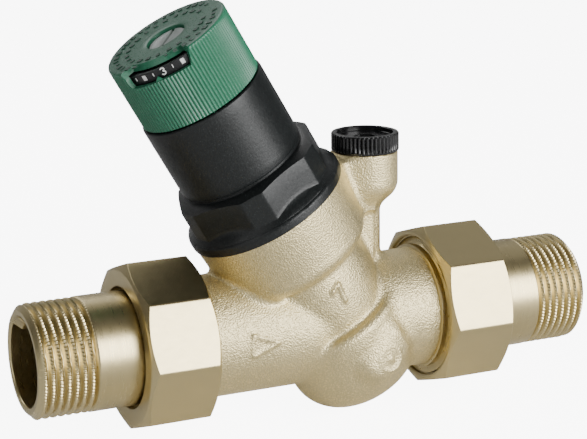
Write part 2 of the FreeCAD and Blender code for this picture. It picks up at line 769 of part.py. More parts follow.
def upper_spring_plate():
    plate = disc(bonnet_bore_r - guide_gap, spring_plate_low, spring_plate_top)
    hub = disc(spring_hub_r, spring_plate_low - spring_plate_hub, spring_plate_low)
    body = plate.fuse(hub)
    body = body.cut(disc(spindle_r + running, spring_plate_low - spring_plate_hub - spare,
                         spring_plate_top + spare))
    half = guide_rib_width / 2 + guide_gap
    notch = box(bonnet_bore_r - guide_rib_high - guide_gap, bonnet_bore_r + spare, -half, half,
                spring_plate_low - spare, spring_plate_top + spare)
    return body.cut(around(notch, guide_ribs))


def adjusting_spindle():
    low = spring_plate_low - spring_plate_hub - spindle_tail
    spindle = disc(spindle_r, low, spindle_top)
    collar = disc(spindle_r + spindle_collar_over, collar_top - spindle_collar, collar_top)
    groove = ring(spindle_r + spare, spindle_r - snap_groove, snap_low, snap_top)
    flat = box(spindle_r - spline_flat, spindle_r + spare, -spindle_r - spare, spindle_r + spare,
               snap_top + spare, spindle_top + spare)
    hole = disc(lock_screw_shank_r + running, spindle_top - lock_screw_length, spindle_top + spare)
    return spindle.fuse(collar).cut([groove, flat, turned_by(flat, 180), hole])


def spindle_thrust_washer():
    outer = spindle_r + spindle_collar_over + thrust_washer_over
    return ring(outer, spindle_r + running, washer_low, washer_low + thrust_washer_thick)


def spindle_snap_ring():
    inner = spindle_r - snap_groove
    body = ring(inner + snap_ring_over, inner + still, snap_low + still, snap_top - still)
    gap = box(0, spindle_r + snap_ring_over + spare, -spindle_r / 2, spindle_r / 2, snap_low - spare,
              snap_top + spare)
    return body.cut(gap)


# ---- knob, scale and lock screw ------------------------------------------------------------------
def knob_window(low, radius_in, radius_out):
    """The tool that opens the knob's window, as a sector about the spring axis."""
    sector = ring(radius_out, radius_in, low, knob_top + spare)
    blade = Part.makeCylinder(radius_out + spare, knob_top + 2 * spare - low, point(0, 0, low - spare / 2),
                              point(0, 0, 1), window_width_deg)
    return sector.common(turned_by(blade, -window_centre_deg - window_width_deg / 2))


def adjusting_knob():
    outside = turned([
        (0, knob_low), (knob_r, knob_low), (knob_r, knob_top - knob_edge), (knob_r - knob_edge, knob_top),
        (0, knob_top)])
    groove = prism(4, 2 * knob_rib_depth, knob_low - spare, knob_top - knob_edge)
    groove.translate(point(knob_r, 0, 0))
    outside = outside.cut(around(groove, knob_ribs))
    hub_low = snap_top + 2 * spare
    inside = disc(knob_bore_r, knob_low - spare, knob_roof_low)
    hub = disc(spindle_r + knob_hub_wall, hub_low, knob_roof_low + still)
    knob = outside.cut(inside).fuse(hub)
    socket = disc(spindle_r + still, hub_low - spare, spindle_top)
    flat = box(spindle_r - spline_flat + still, spindle_r + spare, -spindle_r - spare, spindle_r + spare,
               hub_low - 2 * spare, spindle_top + spare)
    socket = socket.cut([flat, turned_by(flat, 180)])
    recess = disc(recess_r, spindle_top, knob_top + spare)
    window = knob_window(knob_top - window_height, knob_r - window_depth, knob_r + spare)
    return knob.cut([socket, recess, window])


def scale_ring():
    band = ring(scale_r, scale_r - scale_ring_wall, scale_low, scale_top)
    floor = ring(scale_r, neck_bore_r, scale_low, scale_low + scale_ring_wall)
    return band.fuse(floor)


def lock_screw():
    head = disc(recess_r - lock_screw_gap, spindle_top + face_gap, spindle_top + lock_screw_head)
    shank = disc(lock_screw_shank_r, spindle_top - lock_screw_length + spare, spindle_top + face_gap)
    slot = box(-recess_r, recess_r, -slot_width / 2, slot_width / 2,
               spindle_top + lock_screw_head - slot_depth, spindle_top + lock_screw_head + spare)
    return head.fuse(shank).cut(slot)


# ---- gauge port plug -----------------------------------------------------------------------------
def gauge_port_plug():
    head = disc(plug_head_r, plug_seat, plug_top)
    notch = disc(plug_knurl_r, plug_seat + spare, plug_top + spare)
    notch.translate(point(plug_head_r, 0, 0))
    recess = disc(plug_head_r - plug_rim, plug_top - plug_recess, plug_top + spare)
    wide = plug_ring_section_r + still
    groove = ring(plug_ring_mean_r + wide, plug_ring_mean_r - wide, plug_seat - spare,
                  plug_seat + 2 * plug_ring_section_r)
    shank = disc(port_r - plug_thread_gap, plug_seat - plug_shank, plug_seat + still)
    hexagon = prism(6, plug_hexagon, plug_top - plug_recess - plug_hexagon_deep, plug_top + spare)
    return head.cut(around(notch, plug_knurls) + [recess, groove]).fuse(shank).cut(hexagon)


def gauge_plug_o_ring():
    return torus(plug_ring_mean_r, plug_ring_section_r, plug_seat + plug_ring_section_r - face_gap + still)


# ---- every node, in the row's frame ---------------------------------------------------------------
nodes = {
    "body_casting": body_casting(),
    "inlet_tailpiece": from_inlet(tailpiece()),
    "inlet_gasket": from_inlet(union_gasket()),
    "inlet_union_nut": from_inlet(union_nut(-inlet_nut_turn_deg)),
    "outlet_tailpiece": from_outlet(tailpiece()),
    "outlet_gasket": from_outlet(union_gasket()),
    "outlet_union_nut": from_outlet(union_nut(outlet_nut_turn_deg)),
    "gauge_port_plug": on_port(gauge_port_plug()),
    "gauge_plug_o_ring": on_port(gauge_plug_o_ring()),
}
for make in (
        valve_seat_ring, seat_o_ring, cartridge_cage, strainer_mesh, strainer_frame, cartridge_head,
        cartridge_head_o_ring, stem_guide_bush, stem_o_ring, valve_stem, valve_disc_holder, valve_disc_seal,
        valve_disc_screw, diaphragm_backing_washer, diaphragm, diaphragm_slip_ring,
        diaphragm_pressure_plate, diaphragm_nut, spring_bonnet, adjusting_spring, upper_spring_plate,
        adjusting_spindle, spindle_thrust_washer, spindle_snap_ring, adjusting_knob, scale_ring, lock_screw):
    nodes[make.__name__] = on_spring_axis(make())

os.makedirs("parts", exist_ok=True)
for name, shape in nodes.items():
    shape = one_solid(shape)
    solids = len(shape.Solids)
    print("%-28s solids %d  volume %10.1f mm3  valid %s" % (name, solids, shape.Volume, shape.isValid()))
    shape.exportStep("parts/%s.step" % name)
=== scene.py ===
import json
import math

import bmesh
import bpy
import numpy as np
from bpy.props import FloatProperty, FloatVectorProperty, IntProperty, PointerProperty
from mathutils import Matrix, Vector


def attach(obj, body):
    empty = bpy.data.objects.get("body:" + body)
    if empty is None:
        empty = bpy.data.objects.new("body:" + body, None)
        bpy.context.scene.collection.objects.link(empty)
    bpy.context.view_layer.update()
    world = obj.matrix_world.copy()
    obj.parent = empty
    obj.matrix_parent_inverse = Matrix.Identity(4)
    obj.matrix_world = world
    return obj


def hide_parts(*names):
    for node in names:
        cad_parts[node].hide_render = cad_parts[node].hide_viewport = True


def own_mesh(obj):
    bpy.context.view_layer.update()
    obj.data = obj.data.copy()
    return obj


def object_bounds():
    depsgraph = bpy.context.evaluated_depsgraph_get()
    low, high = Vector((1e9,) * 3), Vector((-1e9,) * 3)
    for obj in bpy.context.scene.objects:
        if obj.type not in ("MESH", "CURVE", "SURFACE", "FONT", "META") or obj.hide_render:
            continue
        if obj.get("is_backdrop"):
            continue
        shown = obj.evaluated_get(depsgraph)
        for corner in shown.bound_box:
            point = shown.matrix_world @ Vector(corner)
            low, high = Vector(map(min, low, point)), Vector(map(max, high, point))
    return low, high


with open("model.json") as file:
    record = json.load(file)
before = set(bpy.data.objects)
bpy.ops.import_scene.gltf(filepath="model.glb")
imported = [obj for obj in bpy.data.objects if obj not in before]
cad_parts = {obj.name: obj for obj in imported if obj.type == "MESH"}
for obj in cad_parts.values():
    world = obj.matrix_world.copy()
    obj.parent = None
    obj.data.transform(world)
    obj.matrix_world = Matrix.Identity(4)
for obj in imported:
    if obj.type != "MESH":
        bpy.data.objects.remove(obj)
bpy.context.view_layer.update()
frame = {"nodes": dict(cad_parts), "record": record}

bl_info = {
    "name": "Water Pressure Regulator",
    "version": (1, 0, 0),
    "blender": (4, 5, 0),
    "location": "3D View > Sidebar > Regulator",
    "description": "Builds a brass in-line water pressure regulator round its packed CAD frame",
    "category": "Object",
}

# Working sizes below are in millimetres in the row's frame: x along the pipe from the inlet's end face,
# z up, y away from the front.  "h" is the height along the leaning spring axis from where it crosses the pipe.
CROSSING = np.array([97.0, 0.0, 0.0])
LENGTH = 176.5
PORT_X = 108.004
BORE_R = 13.0
PIPE_R = 18.08
DRUM_R = 18.75
UNION_PITCH = 2.309
PORT_PITCH = 1.337
TILT = math.radians(30.0)
AXIS = np.array([-math.sin(TILT), 0.0, math.cos(TILT)])
OUTWARD = np.array([math.cos(TILT), 0.0, math.sin(TILT)])


# ---- placing -----------------------------------------------------------------------------------------
def placed(origin, x_way, y_way, z_way):
    """A matrix from a piece's own millimetres to the scene's metres."""
    columns = np.column_stack([x_way, y_way, z_way, origin]) / 1000.0
    return Matrix([list(row) for row in columns] + [[0.0, 0.0, 0.0, 1.0]])


def on_spring_axis():
    return placed(CROSSING, OUTWARD, (0, 1, 0), AXIS)


def on_inlet():
    """Local Z runs from the inlet's end face along the flow; local X is the row's -Y."""
    return placed((0, 0, 0), (0, -1, 0), (0, 0, -1), (1, 0, 0))


def on_outlet():
    """Local Z runs from the outlet's end face against the flow; local X is the row's -Y."""
    return placed((LENGTH, 0, 0), (0, -1, 0), (0, 0, 1), (-1, 0, 0))


def on_port():
    return placed((PORT_X, 0, 0), (1, 0, 0), (0, 1, 0), (0, 0, 1))


# ---- mesh helpers ------------------------------------------------------------------------------------
def new_object(name, verts, faces, place=None, smooth_deg=35.0):
    """A mesh object in metres; edges sharper than smooth_deg stay crisp."""
    mesh = bpy.data.meshes.new(name)
    mesh.from_pydata([tuple(v) for v in verts], [], [tuple(f) for f in faces])
    if place is not None:
        mesh.transform(place)
    mesh.validate()
    tidy = bmesh.new()
    tidy.from_mesh(mesh)
    bmesh.ops.remove_doubles(tidy, verts=tidy.verts, dist=2e-6)
    bmesh.ops.recalc_face_normals(tidy, faces=tidy.faces)
    tidy.to_mesh(mesh)
    tidy.free()
    mesh.shade_smooth()
    mesh.set_sharp_from_angle(angle=math.radians(smooth_deg))
    piece = bpy.data.objects.new(name, mesh)
    bpy.context.scene.collection.objects.link(piece)
    return piece


def skin(name, rows, place, closed=True, smooth_deg=35.0):
    """Faces between rows of points, each row going once round; a closed skin joins the last row to the first."""
    rows = np.asarray(rows, float)
    count, around = rows.shape[:2]
    here = np.arange(count * around).reshape(count, around)
    last = count if closed else count - 1
    faces = []
    for k in range(last):
        a, b = here[k], here[(k + 1) % count]
        faces += list(zip(a, np.roll(a, -1), np.roll(b, -1), b))
    return new_object(name, rows.reshape(-1, 3), faces, place, smooth_deg)


def eased(corners, radius=0.3, steps=3):
    """Corners of a closed outline, each (r, h) or (r, h, own radius), with every corner rounded off."""
    points = []
    count = len(corners)
    for k, corner in enumerate(corners):
        here = np.array(corner[:2], float)
        before = np.array(corners[k - 1][:2], float)
        after = np.array(corners[(k + 1) % count][:2], float)
        size = corner[2] if len(corner) > 2 else radius
        in_length = np.linalg.norm(before - here)
        out_length = np.linalg.norm(after - here)
        size = min(size, 0.45 * in_length, 0.45 * out_length)
        if size <= 0.001:
            points.append(tuple(here))
            continue
        start = here + (before - here) / in_length * size
        end = here + (after - here) / out_length * size
        for step in range(steps + 1):
            t = step / steps
            points.append(tuple((1 - t) ** 2 * start + 2 * t * (1 - t) * here + t * t * end))
    return points


def lathe(name, corners, place, segments=128, radius=0.3, smooth_deg=35.0):
    """A turned piece from a closed outline of (radius, height) corners."""
    angles = np.linspace(0, 2 * math.pi, segments, endpoint=False)
    rows = [[(r * math.cos(a), r * math.sin(a), h) for a in angles] for r, h in eased(corners, radius)]
    return skin(name, rows, place, True, smooth_deg)


def polygon_outline(sides, flats, first_deg, corner_round, along=6, arc=4, widths=None):
    """(angle, radius) samples round a polygon with rounded corners.  widths gives each side's flats in turn."""
    normals = [math.radians(first_deg + 360.0 * k / sides) for k in range(sides)]
    widths = widths or [flats]
    halves = [widths[k % len(widths)] / 2 for k in range(sides)]
    corners = []
    for k in range(sides):
        a, b = normals[k], normals[(k + 1) % sides]
        da, db = halves[k], halves[(k + 1) % sides]
        cross = math.sin(b - a)
        corners.append(((da * math.sin(b) - db * math.sin(a)) / cross,
                        (db * math.cos(a) - da * math.cos(b)) / cross))
    outline = eased(corners, corner_round, arc)
    points = []
    for k, here in enumerate(outline):
        after = outline[(k + 1) % len(outline)]
        gap = math.dist(here, after)
        pieces = along if gap > 1.5 else 1
        for step in range(pieces):
            t = step / pieces
            points.append((here[0] + t * (after[0] - here[0]), here[1] + t * (after[1] - here[1])))
    samples = sorted((math.atan2(y, x) % (2 * math.pi), math.hypot(x, y)) for x, y in points)
    return np.array([s[0] for s in samples]), np.array([s[1] for s in samples])


def ring_row(angles, radius, height):
    """One row of points; radius and height may vary round it."""
    radius = np.broadcast_to(radius, angles.shape)
    height = np.broadcast_to(height, angles.shape)
    return np.column_stack([radius * np.cos(angles), radius * np.sin(angles), height])


def rings(angles, profile):
    """Rows for a profile of (radius, height) pairs."""
    return [ring_row(angles, radius, height) for radius, height in profile]


def softened(piece, width, steps=2, angle_deg=28.0):
    """Small rounded edges."""
    edge = piece.modifiers.new("edge", "BEVEL")
    edge.width = width / 1000.0
    edge.segments = steps
    edge.limit_method = "ANGLE"
    edge.angle_limit = math.radians(angle_deg)
    edge.harden_normals = False
    return piece


def finished(piece, body, slot, material, *nodes):
    """Gives a piece its finish and its body, and hides the CAD nodes that it stands for."""
    piece.data.materials.clear()
    piece.data.materials.append(material)
    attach(piece, body)
    if nodes:
        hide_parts(*nodes)
    return piece


# ---- solid casting from distances --------------------------------------------------------------------
def round_join(a, b, r):
    """Union with a fillet of radius r."""
    return np.maximum(r, np.minimum(a, b)) - np.hypot(np.maximum(r - a, 0), np.maximum(r - b, 0))


def round_meet(a, b, r):
    """Intersection with a rounded edge of radius r."""
    return np.minimum(-r, np.maximum(a, b)) + np.hypot(np.maximum(r + a, 0), np.maximum(r + b, 0))


def capped(radial, axial, radius, low, high, edge):
    """A short cylinder with rounded rims, from its radial and axial positions."""
    out = radial - radius + edge
    end = np.maximum(low - axial, axial - high) + edge
    return np.minimum(np.maximum(out, end), 0) + np.hypot(np.maximum(out, 0), np.maximum(end, 0)) - edge


def capsule(p, a, b, r):
    """Distance to a rounded bar from a to b."""
    a, b = np.asarray(a, float), np.asarray(b, float)
    way = b - a
    t = np.clip(((p - a) @ way) / (way @ way), 0, 1)
    return np.linalg.norm(p - a - t[:, None] * way, axis=1) - r


def on_barrel(h, turn_deg, r):
    """A point at height h and radius r about the spring axis, turned from the outlet towards the front."""
    t = math.radians(turn_deg)
    return CROSSING + AXIS * h + OUTWARD * r * math.cos(t) - np.array([0, r * math.sin(t), 0])


def on_pipe(x, up_deg, r):
    """A point on the front of the pipe, up_deg above level."""
    t = math.radians(up_deg)
    return np.array([x, -r * math.cos(t), r * math.sin(t)])


def strokes(p, points, r):
    """Distance to bars that join points in turn."""
    found = np.full(len(p), 1e3)
    for a, b in zip(points[:-1], points[1:]):
        found = np.minimum(found, capsule(p, a, b, r))
    return found


def about_spring_axis(p):
    """Height along the spring axis, place towards the outlet, and distance from the axis."""
    dx = p[:, 0] - CROSSING[0]
    h = dx * AXIS[0] + p[:, 2] * AXIS[2]
    q = dx * OUTWARD[0] + p[:, 2] * OUTWARD[2]
    return h, q, np.hypot(q, p[:, 1])


def casting_outside(p):
    """Distance to the casting without its hollows and raised marks."""
    x, y, z = p[:, 0], p[:, 1], p[:, 2]
    h, q, radial = about_spring_axis(p)
    near = np.clip((17.0 - np.abs(x - CROSSING[0])) / 17.0, 0, 1)
    waisted = PIPE_R - 2.1 * near * near * (3 - 2 * near)
    pipe = capped(np.hypot(y, z), x, waisted, 52.3, 124.2, 0.05)
    drum = radial - DRUM_R + 0.0078 * (h - 12.0) ** 2
    drum = np.maximum(drum, np.maximum(-8.0 - h, h - 26.0))
    housing_r = 23.4 + np.clip((h - 28.0) / 14.8, 0, 1) * 0.85
    housing = capped(radial, h, housing_r, 22.6, 60.0, 4.6)
    bowl_r = np.interp(h, [-11.6, -3.0, 3.0], [20.4, 21.4, 21.6])
    bowl = capped(radial, h, bowl_r, -25.1, 40.0, 12.4)
    bowl = round_meet(bowl, h - 2.4, 2.4)
    port_radial = np.hypot(x - PORT_X, y)
    boss = capped(port_radial, z, 9.8, 35.3, 60.0, 6.3)
    boss = round_join(boss, port_radial - 4.45, 3.2)
    boss = round_meet(boss, z - 50.38, 0.35)
    boss = np.maximum(boss, 10.0 - z)
    web = np.maximum(np.abs(y) - 4.45, np.maximum(x - PORT_X, np.maximum(90.0 - x, z - 40.0)))
    web = np.maximum(web, 8.0 - z)
    bridge = round_meet(np.abs(y) - 7.0, z - 49.0, 1.4)
    bridge = np.maximum(bridge, np.maximum(x - PORT_X, np.maximum(80.0 - x, 33.5 - z)))
    solid = round_join(pipe, drum, 1.2)
    solid = round_join(solid, bowl, 1.5)
    solid = round_join(solid, housing, 2.2)
    upright = round_join(boss, web, 1.2)
    upright = round_join(upright, bridge, 2.4)
    solid = round_join(solid, upright, 2.6)
    return np.where(q < 24.9, np.maximum(solid, h - 43.3), solid)


def with_raised_marks(solid, p):
    """Adds a flow arrow, a size numeral, and a plain ring and dot on their pad."""
    arrow = [on_pipe(x, up_deg, 18.1) for x, up_deg in ((63.1, 12.0), (71.0, 2.6), (62.9, -7.8), (63.1, 12.0))]
    solid = round_join(solid, strokes(p, arrow, 0.52), 0.45)
    one = [on_barrel(16.3, 93.6, 18.65), on_barrel(17.6, 84.8, 18.6), on_barrel(11.8, 87.1, 18.75)]
    solid = round_join(solid, strokes(p, one, 0.62), 0.45)
    pad = capsule(p, on_barrel(-7.0, 66.0, 19.6), on_barrel(-10.6, 98.0, 19.4), 2.6)
    pad = round_join(pad, capsule(p, on_barrel(-11.5, 64.0, 19.2), on_barrel(-14.0, 92.0, 18.4), 2.4), 4.0)
    solid = round_join(solid, pad, 4.0)
    centre = on_barrel(-11.2, 82.0, 21.6)
    facing = (centre - CROSSING - AXIS * -11.2) / 21.6
    from_centre = p - centre
    depth = from_centre @ facing
    across = np.linalg.norm(from_centre - depth[:, None] * facing, axis=1)
    disc_ring = np.hypot(across - 3.6, depth) - 0.6
    solid = round_join(solid, disc_ring, 0.5)
    solid = round_join(solid, np.linalg.norm(from_centre, axis=1) - 1.0, 0.5)
    return solid


def casting_hollows(p):
    """Distance to everything bored or cored out of the casting."""
    x, y, z = p[:, 0], p[:, 1], p[:, 2]
    h, _, radial = about_spring_axis(p)
    bore = np.hypot(y, z) - BORE_R
    inlet = np.maximum(np.maximum(bore, x - CROSSING[0]), 1.5 - h)
    outlet = np.maximum(np.maximum(bore, CROSSING[0] - x), h + 3.0)
    lower = capped(radial, h, 17.0, -21.5, 20.0, 9.9)
    lower = np.maximum(lower, h + 3.0)
    upper = capped(radial, h, 14.6, 1.5, 60.0, 0.0)
    sensing = capped(radial, h, 17.5, 25.6, 60.0, 0.0)
    thread = capped(radial, h, 20.0, 30.9, 60.0, 0.0)
    seat = capped(radial, h, 11.0, -4.0, 4.0, 0.0)
    port = capped(np.hypot(x - PORT_X, y), z, 6.65, 40.0, 60.0, 0.0)
    hollow = np.minimum(np.minimum(inlet, outlet), np.minimum(lower, upper))
    return np.minimum(np.minimum(hollow, sensing), np.minimum(np.minimum(thread, seat), port))


def casting_distance(p):
    return np.maximum(with_raised_marks(casting_outside(p), p), -casting_hollows(p))


def sampled_distance(low, counts, step, reach=4):
    """Distances on a grid, worked out finely only near the surface."""
    full = [int(math.ceil(c / reach)) * reach for c in counts]
    blocks = [c // reach for c in full]
    middles = [low[k] + (np.arange(blocks[k]) * reach + (reach - 1) / 2) * step for k in range(3)]
    centre = np.stack(np.meshgrid(*middles, indexing="ij"), -1).reshape(-1, 3)
    rough = casting_distance(centre)
    near = np.abs(rough) < step * reach * 1.45
    field = np.repeat(np.repeat(np.repeat(rough.reshape(blocks), reach, 0), reach, 1), reach, 2)
    starts = np.stack(np.unravel_index(np.nonzero(near)[0], blocks), -1) * reach
    offsets = np.stack(np.meshgrid(*[np.arange(reach)] * 3, indexing="ij"), -1).reshape(-1, 3)
    cells = (starts[:, None, :] + offsets[None]).reshape(-1, 3)
    values = np.empty(len(cells))
    for first in range(0, len(cells), 400000):
        part = cells[first:first + 400000]
        values[first:first + 400000] = casting_distance(np.asarray(low) + part * step)
    field[cells[:, 0], cells[:, 1], cells[:, 2]] = values
    return field


def surface_net(field, low, step):
    """Quads round the zero level of a grid of distances, one vertex in each cell that it crosses."""
    inside = field < 0
    nx, ny, nz = field.shape
    count = np.zeros((nx - 1, ny - 1, nz - 1), np.int32)
    total = np.zeros((nx - 1, ny - 1, nz - 1, 3))
    for axis in range(3):
        others = [a for a in range(3) if a != axis]
        lower = [slice(None)] * 3
        upper = [slice(None)] * 3
        lower[axis], upper[axis] = slice(0, -1), slice(1, None)
        a, b = field[tuple(lower)], field[tuple(upper)]
        crossed = inside[tuple(lower)] != inside[tuple(upper)]
        share = np.where(crossed, a / np.where(crossed, a - b, 1.0), 0.0)
        for i in (0, 1):
            for j in (0, 1):
                cut = [slice(None)] * 3
                cut[others[0]] = slice(i, field.shape[others[0]] - 1 + i)
                cut[others[1]] = slice(j, field.shape[others[1]] - 1 + j)
                hit = crossed[tuple(cut)]
                count += hit
                spot = np.zeros(3)
                spot[others[0]], spot[others[1]] = i, j
                total += np.where(hit[..., None], spot, 0.0)
                total[..., axis] += np.where(hit, share[tuple(cut)], 0.0)
    active = count > 0
    number = np.full(active.shape, -1, np.int64)
    number[active] = np.arange(int(active.sum()))
    cell = np.stack(np.nonzero(active), -1)
    verts = np.asarray(low) + (cell + total[active] / count[active][:, None]) * step
    faces = []
    for axis in range(3):
        u, v = [(1, 2), (2, 0), (0, 1)][axis]
        lower = [slice(1, -1)] * 3
        upper = [slice(1, -1)] * 3
        lower[axis], upper[axis] = slice(0, -1), slice(1, None)
        crossed = inside[tuple(lower)] != inside[tuple(upper)]
        spots = np.stack(np.nonzero(crossed), -1)
        start = spots + np.array([0 if a == axis else 1 for a in range(3)])
        inward = inside[tuple(lower)][crossed]
        corners = []
        for du, dv in ((0, 0), (-1, 0), (-1, -1), (0, -1)):
            c = start.copy()
            c[:, u] += du
            c[:, v] += dv
            corners.append(number[c[:, 0], c[:, 1], c[:, 2]])
        quad = np.stack(corners, -1)
        quad[~inward] = quad[~inward][:, ::-1]
        faces.append(quad)
    return verts, np.concatenate(faces)


def drawn_to_surface(verts, rounds=3, reach=0.35):
    """Moves each vertex onto the true surface along its slope."""
    tiny = 0.02
    for _ in range(rounds):
        here = casting_distance(verts)
        slope = np.empty_like(verts)
        for axis in range(3):
            aside = verts.copy()
            aside[:, axis] += tiny
            slope[:, axis] = (casting_distance(aside) - here) / tiny
        size = np.maximum((slope ** 2).sum(1), 0.2)
        move = -slope * (here / size)[:, None]
        length = np.linalg.norm(move, axis=1, keepdims=True)
        verts = verts + move * np.minimum(1.0, reach / np.maximum(length, 1e-9))
    return verts


# ---- shader groups -----------------------------------------------------------------------------------
def group(name, ins, outs):
    """A new shader node group with its sockets; ins and outs are (name, socket type, default or None)."""
    tree = bpy.data.node_groups.new(name, "ShaderNodeTree")
    for label, kind, default in ins:
        socket = tree.interface.new_socket(name=label, in_out="INPUT", socket_type=kind)
        if default is not None:
            socket.default_value = default
    for label, kind in outs:
        tree.interface.new_socket(name=label, in_out="OUTPUT", socket_type=kind)
    entry = tree.nodes.new("NodeGroupInput")
    leave = tree.nodes.new("NodeGroupOutput")
    return tree, entry, leave


def node(tree, kind, **values):
    made = tree.nodes.new(kind)
    for key, value in values.items():
        setattr(made, key, value)
    return made


def maths(tree, operation, a, b, clamp=False):
    made = node(tree, "ShaderNodeMath", operation=operation, use_clamp=clamp)
    for index, value in enumerate((a, b)):
        if isinstance(value, (int, float)):
            made.inputs[index].default_value = value
        else:
            tree.links.new(value, made.inputs[index])
    return made.outputs[0]


def noise(tree, vector, scale, detail=3.0, roughness=0.55):
    made = node(tree, "ShaderNodeTexNoise")
    made.inputs["Detail"].default_value = detail
    made.inputs["Roughness"].default_value = roughness
    tree.links.new(vector, made.inputs["Vector"])
    if isinstance(scale, (int, float)):
        made.inputs["Scale"].default_value = scale
    else:
        tree.links.new(scale, made.inputs["Scale"])
    return made.outputs["Fac"]


def ramp(tree, value, low, high, to_low=0.0, to_high=1.0):
    made = node(tree, "ShaderNodeMapRange")
    tree.links.new(value, made.inputs["Value"])
    for label, number in (("From Min", low), ("From Max", high), ("To Min", to_low), ("To Max", to_high)):
        if isinstance(number, (int, float)):
            made.inputs[label].default_value = number
        else:
            tree.links.new(number, made.inputs[label])
    return made.outputs["Result"]


def mixed(tree, share, a, b):
    made = node(tree, "ShaderNodeMix", data_type="RGBA")
    if isinstance(share, (int, float)):
        made.inputs["Factor"].default_value = share
    else:
        tree.links.new(share, made.inputs["Factor"])
    for label, value in (("A", a), ("B", b)):
        socket = [s for s in made.inputs if s.name == label and s.type == "RGBA"][0]
        if isinstance(value, (tuple, list)):
            socket.default_value = value
        else:
            tree.links.new(value, socket)
    return [s for s in made.outputs if s.type == "RGBA"][0]


def edge_wear_group():
    """A mask that is 1 on worn, outward edges, broken up by noise."""
    tree, entry, leave = group("Edge Wear", [("Width", "NodeSocketFloat", 0.5), ("Break Up", "NodeSocketFloat", 0.4)],
                               [("Mask", "NodeSocketFloat")])
    shape = node(tree, "ShaderNodeNewGeometry")
    place = node(tree, "ShaderNodeTexCoord")
    spots = noise(tree, place.outputs["Object"], 900.0, 2.0)
    edge = ramp(tree, shape.outputs["Pointiness"], 0.51, 0.58)
    worn = maths(tree, "MULTIPLY", edge, entry.outputs["Width"])
    rough = maths(tree, "MULTIPLY", spots, entry.outputs["Break Up"])
    tree.links.new(maths(tree, "SUBTRACT", worn, rough, True), leave.inputs["Mask"])
    return tree


def blast_grain_group():
    """The skin of a shot-blasted casting: fine dimples, a slow roll of the surface, and a fine grain, which the cast
    brass uses for its roughness and for its painted glints.
    """
    tree, entry, leave = group(
        "Blasted Skin", [("Grain Scale", "NodeSocketFloat", 1500.0), ("Dimple Depth", "NodeSocketFloat", 1.0),
                         ("Roll Depth", "NodeSocketFloat", 0.4)],
        [("Height", "NodeSocketFloat"), ("Grain", "NodeSocketFloat"), ("Cloud", "NodeSocketFloat")])
    place = node(tree, "ShaderNodeTexCoord")
    fine = noise(tree, place.outputs["Object"], entry.outputs["Grain Scale"], 2.0, 0.6)
    coarse = noise(tree, place.outputs["Object"], 420.0, 2.0, 0.5)
    cloud = noise(tree, place.outputs["Object"], 55.0, 3.0, 0.5)
    dimples = node(tree, "ShaderNodeTexVoronoi", feature="SMOOTH_F1")
    tree.links.new(place.outputs["Object"], dimples.inputs["Vector"])
    tree.links.new(entry.outputs["Grain Scale"], dimples.inputs["Scale"])
    dimples.inputs["Smoothness"].default_value = 0.6
    deep = maths(tree, "MULTIPLY", dimples.outputs["Distance"], entry.outputs["Dimple Depth"])
    roll = maths(tree, "MULTIPLY", coarse, entry.outputs["Roll Depth"])
    height = maths(tree, "ADD", maths(tree, "ADD", deep, maths(tree, "MULTIPLY", fine, 0.5)), roll)
    tree.links.new(height, leave.inputs["Height"])
    tree.links.new(fine, leave.inputs["Grain"])
    tree.links.new(cloud, leave.inputs["Cloud"])
    return tree


def tool_marks_group():
    """Fine parallel marks of turning or milling, along one direction of the piece."""
    tree, entry, leave = group(
        "Tool Marks", [("Stretch", "NodeSocketVector", (1.0, 1.0, 1.0)), ("Scale", "NodeSocketFloat", 900.0)],
        [("Height", "NodeSocketFloat"), ("Tone", "NodeSocketFloat")])
    place = node(tree, "ShaderNodeTexCoord")
    scaled = node(tree, "ShaderNodeVectorMath", operation="MULTIPLY")
    tree.links.new(place.outputs["Object"], scaled.inputs[0])
    tree.links.new(entry.outputs["Stretch"], scaled.inputs[1])
    lines = noise(tree, scaled.outputs[0], entry.outputs["Scale"], 3.0, 0.6)
    tone = noise(tree, scaled.outputs[0], 120.0, 3.0, 0.5)
    tree.links.new(lines, leave.inputs["Height"])
    tree.links.new(tone, leave.inputs["Tone"])
    return tree


def moulded_group():
    """Moulded plastic: a fine spark-eroded texture and pale glass-fibre specks."""
    tree, entry, leave = group(
        "Moulded Skin", [("Texture Scale", "NodeSocketFloat", 1800.0), ("Speck Share", "NodeSocketFloat", 0.3)],
        [("Height", "NodeSocketFloat"), ("Specks", "NodeSocketFloat"), ("Cloud", "NodeSocketFloat")])
    place = node(tree, "ShaderNodeTexCoord")
    fine = noise(tree, place.outputs["Object"], entry.outputs["Texture Scale"], 3.0, 0.65)
    specks = noise(tree, place.outputs["Object"], 3300.0, 1.0, 0.5)
    limit = maths(tree, "SUBTRACT", 0.78, maths(tree, "MULTIPLY", entry.outputs["Speck Share"], 0.2))
    shown = ramp(tree, specks, limit, 0.82)
    cloud = noise(tree, place.outputs["Object"], 70.0, 3.0, 0.5)
    tree.links.new(fine, leave.inputs["Height"])
    tree.links.new(shown, leave.inputs["Specks"])
    tree.links.new(cloud, leave.inputs["Cloud"])
    return tree


GROUPS = {}
MATERIALS = {}


def use_group(tree, name, **values):
    made = node(tree, "ShaderNodeGroup")
    made.node_tree = GROUPS[name]
    for label, value in values.items():
        made.inputs[label.replace("_", " ")].default_value = value
    return made


def new_material(name, **fixed):
    """A material with its Principled shader; fixed values go straight on the shader's sockets."""
    material = bpy.data.materials.new(name)
    material.use_nodes = True
    tree = material.node_tree
    tree.nodes.clear()
    shader = tree.nodes.new("ShaderNodeBsdfPrincipled")
    leave = tree.nodes.new("ShaderNodeOutputMaterial")
    tree.links.new(shader.outputs["BSDF"], leave.inputs["Surface"])
    for label, value in fixed.items():
        shader.inputs[label.replace("_", " ")].default_value = value
    MATERIALS[name] = material
    return material, tree, shader


